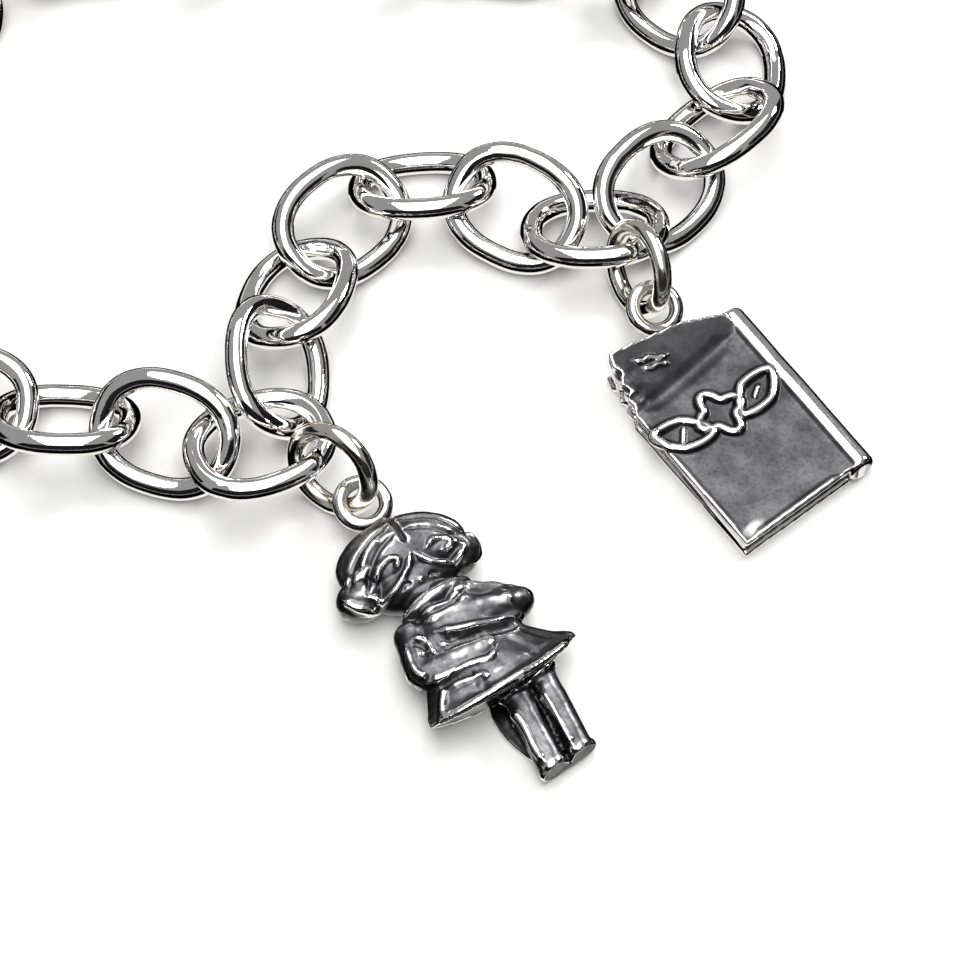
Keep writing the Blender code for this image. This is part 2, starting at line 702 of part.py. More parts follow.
def make_book(collection, cutters, material, matrix):
    """The cast book: slab, spine rod, raised ornaments and bail ring joined into one solid."""
    book = add_object("book_charm", book_slab(), collection, material)
    additions = [add_object("book_spine", book_spine(), cutters)]
    for index, (kind, turn, across) in enumerate(RELIEFS):
        name = f"relief_{index + 1}"
        height = BOOK_THICKNESS + RELIEF_LIFT
        place = Matrix.Translation((-across * BOOK_WIDTH, RELIEF_ROW * BOOK_LENGTH, height))
        place = place @ Matrix.Rotation(math.radians(turn), 4, "Z")
        points = [place @ Vector(point) for point in relief_points(kind)]
        line = add_object(name, wire_curve(name, points, RELIEF_WIRE, RELIEF_SIDES), cutters)
        additions.append(add_object(name, mesh_from(line), cutters))
    additions.append(bail_object("book_bail", book_bail_place(), BOOK_BAIL_TILT, cutters))
    additions.append(add_object("book_solder", solder(book_bail_place(), BOOK_BAIL_TILT), cutters))
    book.matrix_world = matrix
    for addition in additions:
        addition.matrix_world = matrix
        join = book.modifiers.new(addition.name, "BOOLEAN")
        join.operation = "UNION"
        join.solver = "EXACT"
        join.object = addition
    return book


def make_clasp(ring, collection, material):
    """A flat closed oval with softened edges."""
    mesh = bmesh.new()
    hole = (CLASP_LENGTH - 2 * CLASP_RIM, CLASP_WIDTH - 2 * CLASP_RIM)
    outer = oval(CLASP_LENGTH, CLASP_WIDTH, CLASP_SEGMENTS, CLASP_SQUARENESS)
    inner = oval(*hole, CLASP_SEGMENTS, CLASP_SQUARENESS)
    rings = []
    for line, height in ((outer, -1), (outer, 1), (inner, 1), (inner, -1)):
        offset = Vector((0.0, 0.0, height * CLASP_THICKNESS / 2))
        rings.append([mesh.verts.new(Vector(point) + offset) for point in line])
    rims = []
    for one, two in zip(rings, rings[1:] + rings[:1]):
        for index in range(CLASP_SEGMENTS):
            following = (index + 1) % CLASP_SEGMENTS
            mesh.faces.new((one[index], one[following], two[following], two[index]))
    for line in rings:
        for index in range(CLASP_SEGMENTS):
            rims.append(mesh.edges.get((line[index], line[(index + 1) % CLASP_SEGMENTS])))
    bmesh.ops.bevel(mesh, geom=rims, offset=CLASP_BEVEL, segments=1, affect="EDGES")
    bmesh.ops.recalc_face_normals(mesh, faces=mesh.faces)
    data = bpy.data.meshes.new("clasp")
    mesh.to_mesh(data)
    mesh.free()
    data.shade_smooth()
    data.set_sharp_from_angle(angle=SMOOTH_ANGLE)
    return add_object("clasp", data, collection, material, ring.matrix())


def centring(collection):
    """The shift that brings the origin under the middle of the bracelet."""
    graph = bpy.context.evaluated_depsgraph_get()
    graph.update()
    lows = []
    highs = []
    for obj in collection.objects:
        mesh = obj.evaluated_get(graph).to_mesh()
        points = np.array([obj.matrix_world @ vert.co for vert in mesh.vertices])
        lows.append(points.min(axis=0))
        highs.append(points.max(axis=0))
    low = np.min(lows, axis=0)
    high = np.max(highs, axis=0)
    shift = Vector((-(low[0] + high[0]) / 2, -(low[1] + high[1]) / 2, -low[2]))
    return Matrix.Translation(shift)


def main():
    for obj in list(bpy.data.objects):
        bpy.data.objects.remove(obj)
    collection = bpy.data.collections.new(COLLECTION)
    cutters = bpy.data.collections.new("cutters")
    for group in (collection, cutters):
        bpy.context.scene.collection.children.link(group)
    silver = make_material("polished_silver", (0.82, 0.81, 0.79), 0.12)
    dark = make_material("oxidised_silver", (0.28, 0.28, 0.29), 0.38)

    rings = chain_rings()
    figure_place = figure_matrix(rings)
    book_place = book_matrix(rings)
    settle(rings + [
        bail_ring("figure_bail", figure_place, figure_bail_place(), FIGURE_TURN, FIGURE_BAIL_TILT),
        bail_ring("book_bail", book_place, book_bail_place(), BOOK_TURN, BOOK_BAIL_TILT),
    ])
    middle = (LINK_LENGTH - LINK_WIRE, LINK_WIDTH - LINK_WIRE)
    link = wire_curve("link", oval(*middle, LINK_SEGMENTS, LINK_SQUARENESS), LINK_WIRE, WIRE_SIDES)
    link.materials.append(silver)
    middle = (JUMP_RING_DIAMETER - JUMP_RING_WIRE, JUMP_RING_DIAMETER - JUMP_RING_WIRE)
    jump = wire_curve("jump_ring", oval(*middle, LINK_SEGMENTS), JUMP_RING_WIRE, WIRE_SIDES)
    jump.materials.append(silver)
    for ring in rings:
        if ring.name == "clasp":
            make_clasp(ring, collection, silver)
        elif ring.name.startswith("link"):
            add_object(ring.name, link, collection, None, ring.matrix())
        else:
            add_object(ring.name, jump, collection, None, ring.matrix())
    make_figure(collection, cutters, dark, figure_place)
    make_book(collection, cutters, dark, book_place)
    bpy.context.view_layer.update()

    shift = centring(collection)
    for obj in [*collection.objects, *cutters.objects]:
        obj.matrix_world = shift @ obj.matrix_world
    for obj in cutters.objects:
        obj.hide_render = True
        obj.display_type = "WIRE"


main()
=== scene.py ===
"""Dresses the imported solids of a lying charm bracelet: links, clasp, jump rings, girl and book."""

import math

import bmesh
import bpy
import numpy as np
from mathutils import Matrix, Vector, noise
from mathutils.bvhtree import BVHTree


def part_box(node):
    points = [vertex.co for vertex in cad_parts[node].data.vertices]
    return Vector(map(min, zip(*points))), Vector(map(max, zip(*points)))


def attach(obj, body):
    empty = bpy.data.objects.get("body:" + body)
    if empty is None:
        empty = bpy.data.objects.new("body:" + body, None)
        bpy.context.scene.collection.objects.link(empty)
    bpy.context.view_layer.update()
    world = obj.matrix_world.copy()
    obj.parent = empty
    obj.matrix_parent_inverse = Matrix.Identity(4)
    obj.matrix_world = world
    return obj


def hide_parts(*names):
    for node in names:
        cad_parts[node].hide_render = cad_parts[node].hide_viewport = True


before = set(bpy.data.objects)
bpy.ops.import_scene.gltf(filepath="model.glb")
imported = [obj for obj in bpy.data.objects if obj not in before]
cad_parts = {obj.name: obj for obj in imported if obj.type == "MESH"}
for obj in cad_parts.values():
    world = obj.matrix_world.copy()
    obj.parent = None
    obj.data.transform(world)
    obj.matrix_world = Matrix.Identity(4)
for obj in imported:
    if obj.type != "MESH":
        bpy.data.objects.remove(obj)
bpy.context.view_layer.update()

bl_info = {
    "name": "Charm Bracelet",
    "version": (1, 0, 0),
    "blender": (4, 5, 0),
    "location": "View3D > Sidebar > Bracelet",
    "description": "Builds the polished chain and the cast charms of a bracelet around its packed solids",
    "category": "Add Mesh",
}

MM = 0.001


def length(name, description, default):
    """A length setting in metres."""
    return bpy.props.FloatProperty(name=name, description=description, default=default, unit="LENGTH",
                                   precision=5)


def angle(name, description, degrees):
    """An angle setting."""
    return bpy.props.FloatProperty(name=name, description=description, default=math.radians(degrees),
                                   subtype="ANGLE")


def colour(name, description, default):
    """A colour setting."""
    return bpy.props.FloatVectorProperty(name=name, description=description, default=default,
                                         subtype="COLOR", min=0.0, max=1.0)


def factor(name, description, default):
    """A plain number setting."""
    return bpy.props.FloatProperty(name=name, description=description, default=default)


class ChainSettings(bpy.types.PropertyGroup):
    """Sizes of the links, jump rings and clasp."""

    link_length: length("Link length", "Outer length of an oval link", 11.5 * MM)
    link_width: length("Link width", "Outer width of an oval link", 9.5 * MM)
    link_wire: length("Link wire", "Thickness of the link wire", 1.7 * MM)
    link_squareness: factor("Link squareness", "2 is an ellipse, and more is squarer", 2.3)
    ring_diameter: length("Ring diameter", "Outer diameter of a jump ring", 7.8 * MM)
    ring_wire: length("Ring wire", "Thickness of the jump ring wire", 1.4 * MM)
    clasp_length: length("Clasp length", "Outer length of the clasp", 15.0 * MM)
    clasp_width: length("Clasp width", "Outer width of the clasp", 8.4 * MM)
    clasp_rim: length("Clasp rim", "Width and thickness of the clasp's band", 2.2 * MM)
    clasp_squareness: factor("Clasp squareness", "2 is an ellipse, and more is squarer", 2.6)
    hand_wave: length("Hand wave", "How far hand polishing leaves the wire uneven", 0.022 * MM)


class FigureSettings(bpy.types.PropertyGroup):
    """Sizes of the cast girl."""

    height: length("Height", "From shoes to the top of the hair", 24.0 * MM)
    depth: length("Depth", "Thickness of the casting", 5.2 * MM)
    hem_width: length("Hem width", "Width of the coat's hem", 13.2 * MM)
    head_width: length("Head width", "Width of the head with its hair", 11.6 * MM)
    head_height: length("Head height", "Height of the head with its hair", 7.0 * MM)
    leg_width: length("Leg width", "Thickness of a leg", 1.9 * MM)
    hem_sag: length("Hem sag", "How far the hem hangs lower in its middle", 1.0 * MM)
    back_cut: length("Back cut", "How much of the back is filed flat", 0.35 * MM)
    head_tilt: angle("Head tilt", "Lean of the head to one side", -11.0)
    turn: angle("Turn", "Turn of the charm on the table", 36.0)
    grain: length("Grain", "Finest detail of the casting", 0.10 * MM)


class BookSettings(bpy.types.PropertyGroup):
    """Sizes of the cast book."""

    length: length("Length", "Height of the book along its spine", 16.2 * MM)
    width: length("Width", "Width of the cover", 10.9 * MM)
    thickness: length("Thickness", "Thickness of the closed book", 2.0 * MM)
    cover: length("Cover", "Thickness of one cover", 0.5 * MM)
    page_inset: length("Page inset", "How far the pages lie back from the covers", 0.35 * MM)
    spine: length("Spine", "Diameter of the spine rod", 2.3 * MM)
    spine_shift: length("Spine shift", "How far the rod's middle lies past the cover's edge", 0.46 * MM)
    flap: angle("Flap", "Rise of the bent end of the front cover", 20.0)
    relief_size: length("Relief size", "Size of a raised ornament", 4.0 * MM)
    relief_wire: length("Relief wire", "Width of an ornament's raised line", 0.80 * MM)
    turn: angle("Turn", "Turn of the charm on the table", 34.5)
    grain: length("Grain", "Finest detail of the casting", 0.10 * MM)


class BailSettings(bpy.types.PropertyGroup):
    """Sizes of the small rings soldered to the charms."""

    diameter: length("Diameter", "Outer diameter of a bail ring", 4.5 * MM)
    wire: length("Wire", "Thickness of the bail wire", 1.1 * MM)
    sink: length("Sink", "How deep a bail sits in its charm", 0.05 * MM)
    solder: length("Solder", "Width of the solder bead", 1.7 * MM)


class FinishSettings(bpy.types.PropertyGroup):
    """Colours and polish."""

    silver: colour("Silver", "Polished silver", (0.94, 0.93, 0.91))
    warm: colour("Warm silver", "Silver of the jump rings", (0.95, 0.91, 0.82))
    oxide: colour("Oxide", "Blackened silver in the recesses", (0.016, 0.016, 0.018))
    rubbed: colour("Rubbed oxide", "Half-rubbed silver on open faces", (0.135, 0.135, 0.138))
    chain_roughness: factor("Chain roughness", "Roughness of the polished chain", 0.045)
    oxide_roughness: factor("Oxide roughness", "Roughness of the blackened silver", 0.34)


class StageSettings(bpy.types.PropertyGroup):
    """Floor, light and camera."""

    floor: colour("Floor", "Colour of the floor", (0.90, 0.895, 0.885))
    aim: bpy.props.FloatVectorProperty(name="Aim", subtype="TRANSLATION", unit="LENGTH",
                                       description="From the book's lowest corner to the view's middle",
                                       default=(-9.178 * MM, 6.322 * MM, 0.0))
    elevation: angle("Elevation", "Height of the camera above the table", 58.0)
    distance: length("Distance", "From the camera to the middle of the view", 260.0 * MM)
    lens: factor("Lens", "Focal length in millimetres on a 36 mm sensor", 130.27)
    softbox: factor("Softbox", "Power of the overhead softbox in watts", 2.5)
    side: factor("Side light", "Power of the back side light in watts", 1.0)
    glow: factor("Glow", "Light of the floor right under a wire, as its reflection shows it", 0.95)
    room: factor("Room", "Brightness of the room", 0.31)


def placed(name, data):
    """A new object, linked into the scene."""
    thing = bpy.data.objects.new(name, data)
    bpy.context.scene.collection.objects.link(thing)
    return thing


def mesh_data(name, mesh):
    """The mesh data of a bmesh, which is freed."""
    data = bpy.data.meshes.new(name)
    mesh.to_mesh(data)
    mesh.free()
    return data


def join(mesh, part):
    """Add one bmesh to another."""
    data = mesh_data("part", part)
    mesh.from_mesh(data)
    bpy.data.meshes.remove(data)


def spin_round(mesh, steps):
    """Spin the circle of a wire's section, all that the mesh holds so far, into a ring about Z."""
    bmesh.ops.spin(mesh, geom=mesh.verts[:] + mesh.edges[:], cent=(0, 0, 0), axis=(0, 0, 1),
                   angle=2 * math.pi, steps=steps, use_merge=True, use_duplicate=False)


def oval(span, breadth, turn, squareness):
    """The point at an angle on a rounded oval, and the outward direction there."""
    cos = math.cos(turn)
    sin = math.sin(turn)
    point = Vector((span / 2 * math.copysign(abs(cos) ** (2 / squareness), cos),
                    breadth / 2 * math.copysign(abs(sin) ** (2 / squareness), sin), 0.0))
    steep = squareness - 1
    across = Vector((2 / span * math.copysign(abs(2 * point.x / span) ** steep, cos),
                     2 / breadth * math.copysign(abs(2 * point.y / breadth) ** steep, sin), 0.0))
    return point, across.normalized()


def bent_ring(mesh, span, breadth, wire, squareness, seed=0.0, section=2.0, steps=96, sides=24,
              wave=0.0):
    """Make a closed oval of wire: a spun ring whose sections are moved onto the oval."""
    radius = (span + breadth) / 4
    bmesh.ops.create_circle(mesh, segments=sides, radius=wire / 2)
    for vert in mesh.verts:
        spot, _ = oval(wire, wire, math.atan2(vert.co.y, vert.co.x), section)
        vert.co = (radius + spot.x, 0.0, spot.y)
    spin_round(mesh, steps)
    for vert in mesh.verts:
        turn = math.atan2(vert.co.y, vert.co.x)
        across = math.hypot(vert.co.x, vert.co.y) - radius
        rise = vert.co.z
        point, outward = oval(span - wire, breadth - wire, turn, squareness)
        spot = Vector((math.cos(turn) * 3, math.sin(turn) * 3, seed))
        flat = Vector((across, rise)).normalized()
        swell = wave * noise.noise(spot + Vector((flat.x, flat.y, 0.0)) * 0.7)
        seam = abs((turn - seed) % (2 * math.pi) - math.pi) * radius
        swell -= wave * 1.6 * math.exp(-(seam / (0.16 * wire)) ** 2)
        grow = 1 + swell / (wire / 2)
        vert.co = point + outward * across * grow + Vector((0.0, 0.0, rise * grow))


def dressed(name, data, node, material):
    """Link a mesh as a piece that rides on the bracelet and stands for a node."""
    data.shade_smooth()
    data.materials.clear()
    data.materials.append(material)
    piece = placed(name, data)
    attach(piece, "root")
    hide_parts(node)


def ring_place(node):
    """The place of a ring's node: its middle, with X along its length and Z square to its plane."""
    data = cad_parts[node].data
    points = np.unique(np.round([vert.co[:] for vert in data.vertices], 7), axis=0)
    middle = points.mean(axis=0)
    _, _, axes = np.linalg.svd(points - middle, full_matrices=False)
    if np.linalg.det(axes) < 0:
        axes[2] *= -1
    place = Matrix(axes.T.tolist()).to_4x4()
    place.translation = Vector(middle)
    return place


def ring_piece(name, node, silver, *oval_sizes, **shape):
    """Make a polished ring in the place of the node that it stands for."""
    mesh = bmesh.new()
    bent_ring(mesh, *oval_sizes, **shape)
    mesh.transform(ring_place(node))
    bmesh.ops.recalc_face_normals(mesh, faces=mesh.faces)
    if mesh.calc_volume(signed=True) < 0:
        bmesh.ops.reverse_faces(mesh, faces=mesh.faces)
    dressed(name, mesh_data(name, mesh), node, silver)


class Shader:
    """Small helper that adds nodes to a new material."""

    def __init__(self, name):
        self.material = bpy.data.materials.new(name)
        self.material.use_nodes = True
        self.nodes = self.material.node_tree.nodes
        self.links = self.material.node_tree.links
        self.surface = self.nodes["Principled BSDF"]
        self.surface.inputs["Metallic"].default_value = 1.0
        self.place = self.nodes.new("ShaderNodeTexCoord").outputs["Object"]

    def fill(self, node, values):
        """Set a node's inputs to plain values, or wire them to other nodes."""
        for key, value in values.items():
            if isinstance(value, bpy.types.NodeSocket):
                self.links.new(value, node.inputs[key])
            else:
                node.inputs[key].default_value = value
        return node

    def noise(self, scale, detail=3.0, roughness=0.55, place=None):
        """Cloudy noise with features of about one over the scale, in metres."""
        values = {"Scale": scale, "Detail": detail, "Roughness": roughness, "Vector": place or self.place}
        return self.fill(self.nodes.new("ShaderNodeTexNoise"), values).outputs["Fac"]

    def stretched_noise(self, scale, stretch, turn):
        """Noise drawn out in one direction, such as polishing scratches."""
        values = {"Rotation": turn, "Scale": stretch, "Vector": self.place}
        mapping = self.fill(self.nodes.new("ShaderNodeMapping"), values)
        return self.noise(scale, 2.0, 0.5, mapping.outputs["Vector"])

    def attribute(self, name):
        """A value that the mesh carries at each vertex."""
        node = self.nodes.new("ShaderNodeAttribute")
        node.attribute_name = name
        return node.outputs["Fac"]

    def spread(self, value, low, high, to_low, to_high):
        """A value moved from one range to another, smoothly and held at its ends."""
        node = self.nodes.new("ShaderNodeMapRange")
        node.interpolation_type = "SMOOTHSTEP"
        self.fill(node, {"From Min": low, "From Max": high, "To Min": to_low, "To Max": to_high,
                         "Value": value})
        return node.outputs["Result"]

    def math(self, kind, first, second):
        """Two values joined by plain arithmetic."""
        node = self.nodes.new("ShaderNodeMath")
        node.operation = kind
        return self.fill(node, {0: first, 1: second}).outputs["Value"]

    def mix(self, share, *colours):
        """A colour between two others."""
        node = self.nodes.new("ShaderNodeMix")
        node.data_type = "RGBA"
        first, second = (item if isinstance(item, bpy.types.NodeSocket) else (*item, 1.0)
                         for item in colours)
        return self.fill(node, {0: share, 6: first, 7: second}).outputs[2]

    def finish(self, base, roughness, height=None, depth=0.0, relief=1.0):
        """Wire the colour, the roughness and the bump to the surface."""
        self.fill(self.surface, {"Base Color": base, "Roughness": roughness})
        if height is not None:
            bump = self.nodes.new("ShaderNodeBump")
            self.fill(bump, {"Strength": relief, "Distance": depth, "Height": height})
            self.fill(self.surface, {"Normal": bump.outputs["Normal"]})
        return self.material


def polished_silver(name, tint, roughness):
    """Mirror polish with faint tarnish clouds, handling scratches and a fine polishing grain."""
    shader = Shader(name)
    clouds = shader.noise(260.0, 4.0)
    scratches = shader.stretched_noise(5200.0, (1.0, 0.06, 1.0), (0.3, 0.5, 0.7))
    dull = shader.spread(clouds, 0.35, 0.75, roughness * 0.7, roughness * 2.0)
    worn = shader.spread(scratches, 0.62, 0.78, 0.0, roughness * 1.6)
    rough = shader.math("ADD", dull, worn)
    tarnish = shader.spread(shader.noise(420.0, 5.0, 0.65), 0.45, 0.80, 0.0, 0.55)
    shade = tuple(channel * dim for channel, dim in zip(tint, (0.86, 0.84, 0.79)))
    base = shader.mix(tarnish, tint, shade)
    grain = shader.math("ADD", scratches, shader.noise(1500.0, 2.0))
    return shader.finish(base, rough, grain, 0.004 * MM)


def oxidised_silver(name, settings, rubbing):
    """Cast silver, black with oxide in its recesses and with painted shade where the skin is hemmed in,
    half rubbed on open faces and bright on raised edges.
    """
    shader = Shader(name)
    # Bright silver on worn edges, and on the book also where a highlight or sheen is painted.
    wear_and_sheen = shader.attribute("wear_and_sheen")
    open_and_lit = shader.attribute("openness")
    blotch = shader.noise(420.0, 4.0, 0.55)
    fine = shader.noise(3600.0, 3.0, 0.55)
    uneven = shader.spread(blotch, 0.30, 0.72, -0.06, 0.06)
    bright = shader.spread(shader.math("ADD", wear_and_sheen, uneven), 0.62, 0.90, 0.0, 1.0)
    # Hemmed-in places keep the black oxide: patina in the hollows, and painted shade under overhangs such
    # as the cape.
    rubbed = shader.math("MULTIPLY", open_and_lit, shader.spread(blotch, 0.28, 0.70, 0.30, 1.0))
    ground = shader.mix(rubbed, settings.oxide, tuple(rubbing * part for part in settings.rubbed))
    speckle = shader.spread(fine, 0.45, 0.70, 0.0, 0.25)
    ground = shader.mix(speckle, ground, settings.oxide)
    base = shader.mix(bright, ground, settings.silver)
    rough = shader.spread(bright, 0.0, 1.0, settings.oxide_roughness, 0.10)
    rough = shader.math("ADD", rough, shader.spread(fine, 0.35, 0.70, -0.03, 0.05))
    height = shader.math("ADD", blotch, shader.math("MULTIPLY", fine, 0.30))
    return shader.finish(base, rough, height, 0.010 * MM, 0.7)


def floor_paint(tint):
    """Matt white paper with a trace of fibre."""
    shader = Shader("paper_floor")
    shader.surface.inputs["Metallic"].default_value = 0.0
    fibre = shader.noise(900.0, 5.0)
    shade = tuple(0.985 * part for part in tint)
    base = shader.mix(shader.spread(fibre, 0.3, 0.7, 0.0, 1.0), tint, shade)
    return shader.finish(base, shader.spread(fibre, 0.3, 0.7, 0.55, 0.65))


def glowing_paint(name, glow):
    """Black card, or a lit one where the glow is above 0, which paints a reflection."""
    shader = Shader(name)
    values = {"Metallic": 0.0, "Base Color": (0.012, 0.012, 0.014, 1.0), "Roughness": 1.0,
              "Specular IOR Level": 0.0, "Emission Color": (1.0, 0.99, 0.97, 1.0),
              "Emission Strength": glow}
    shader.fill(shader.surface, values)
    return shader.material


class BRACELET_OT_links(bpy.types.Operator):
    """Make the polished oval links of the chain"""

    bl_idname = "bracelet.links"
    bl_label = "Oval links"

    def execute(self, context):
        sizes = context.scene.bracelet_chain
        finish = context.scene.bracelet_finish
        silver = polished_silver("polished_silver", finish.silver, finish.chain_roughness)
        names = sorted(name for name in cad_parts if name.startswith("link_"))
        for index, node in enumerate(names):
            ring_piece(f"oval_{node}", node, silver, sizes.link_length, sizes.link_width,
                       sizes.link_wire, sizes.link_squareness, seed=1.7 * index + 0.4,
                       wave=sizes.hand_wave)
        return {"FINISHED"}


class BRACELET_OT_clasp(bpy.types.Operator):
    """Make the plain closed clasp"""

    bl_idname = "bracelet.clasp"
    bl_label = "Clasp"

    def execute(self, context):
        sizes = context.scene.bracelet_chain
        finish = context.scene.bracelet_finish
        silver = polished_silver("clasp_silver", finish.silver, finish.chain_roughness * 1.3)
        ring_piece("plain_clasp", "clasp", silver, sizes.clasp_length, sizes.clasp_width,
                   sizes.clasp_rim, sizes.clasp_squareness, seed=0.9, section=4.5, steps=120, sides=40,
                   wave=sizes.hand_wave)
        return {"FINISHED"}


class BRACELET_OT_jump_rings(bpy.types.Operator):
    """Make the two round jump rings that carry the charms"""

    bl_idname = "bracelet.jump_rings"
    bl_label = "Jump rings"

    def execute(self, context):
        sizes = context.scene.bracelet_chain
        finish = context.scene.bracelet_finish
        silver = polished_silver("warm_silver", finish.warm, finish.chain_roughness * 3.0)
        for index, node in enumerate(("figure_jump_ring", "book_jump_ring")):
            ring_piece(f"round_{node}", node, silver, sizes.ring_diameter, sizes.ring_diameter,
                       sizes.ring_wire, 2.0, seed=2.1 + index, steps=80, wave=sizes.hand_wave)
        return {"FINISHED"}


def spline(points, count):
    """Points along a smooth curve through the given ones."""
    points = [np.array(point, dtype=float) for point in points]
    ends = [2 * points[0] - points[1], *points, 2 * points[-1] - points[-2]]
    out = []
    for p0, p1, p2, p3 in zip(ends, ends[1:], ends[2:], ends[3:]):
        for step in range(count):
            t = step / count
            out.append(0.5 * (2 * p1 + (p2 - p0) * t + (2 * p0 - 5 * p1 + 4 * p2 - p3) * t ** 2
                              + (3 * p1 - p0 - 3 * p2 + p3) * t ** 3))
    out.append(points[-1])
    return np.array(out)


def lump(mesh, centre, radii, turn=0.0):
    """Add an ellipsoid, turned about Z."""
    place = Matrix.Translation(Vector(centre)) @ Matrix.Rotation(math.radians(turn), 4, "Z")
    place = place @ Matrix.Diagonal((*radii, 1.0))
    bmesh.ops.create_uvsphere(mesh, u_segments=48, v_segments=24, radius=1.0, matrix=place)


def limb(mesh, start, end, start_radius, end_radius):
    """Add a round tapered limb: a sphere whose two halves are drawn apart."""
    start = Vector(start)
    reach = Vector(end) - start
    verts = bmesh.ops.create_uvsphere(mesh, u_segments=32, v_segments=17, radius=1.0)["verts"]
    aim = Matrix.Translation(start) @ reach.to_track_quat("Z", "Y").to_matrix().to_4x4()
    for vert in verts:
        if vert.co.z > 0:
            vert.co = aim @ (vert.co * end_radius + Vector((0.0, 0.0, reach.length)))
        else:
            vert.co = aim @ (vert.co * start_radius)


def wire_loop(mesh, line, wire, place):
    """Add a closed loop of round wire: a spun ring whose sections are moved onto the line's points."""
    count = len(line)
    ring = bmesh.new()
    bmesh.ops.create_circle(ring, segments=12, radius=0.5)
    for vert in ring.verts:
        vert.co = (2.0 + vert.co.x, 0.0, vert.co.y)
    spin_round(ring, count)
    for vert in ring.verts:
        index = round(math.atan2(vert.co.y, vert.co.x) / (2 * math.pi) * count) % count
        across = math.hypot(vert.co.x, vert.co.y) - 2.0
        ahead = line[(index + 1) % count] - line[index - 1]
        outward = Vector((ahead.y, -ahead.x, 0.0)).normalized()
        vert.co = place @ (line[index] + outward * across * wire + Vector((0.0, 0.0, vert.co.z * wire)))
    join(mesh, ring)


def melted(name, mesh, grain, soften=2):
    """Melt overlapping bodies into one skin and return it as mesh data."""
    bmesh.ops.recalc_face_normals(mesh, faces=mesh.faces)
    data = mesh_data(name, mesh)
    skin = placed(name, data)
    remesh = skin.modifiers.new("melt", "REMESH")
    remesh.mode = "VOXEL"
    remesh.voxel_size = grain
    smooth = skin.modifiers.new("soften", "SMOOTH")
    smooth.iterations = soften
    graph = bpy.context.evaluated_depsgraph_get()
    melted_data = bpy.data.meshes.new_from_object(skin.evaluated_get(graph))
    bpy.data.objects.remove(skin)
    bpy.data.meshes.remove(data)
    return melted_data


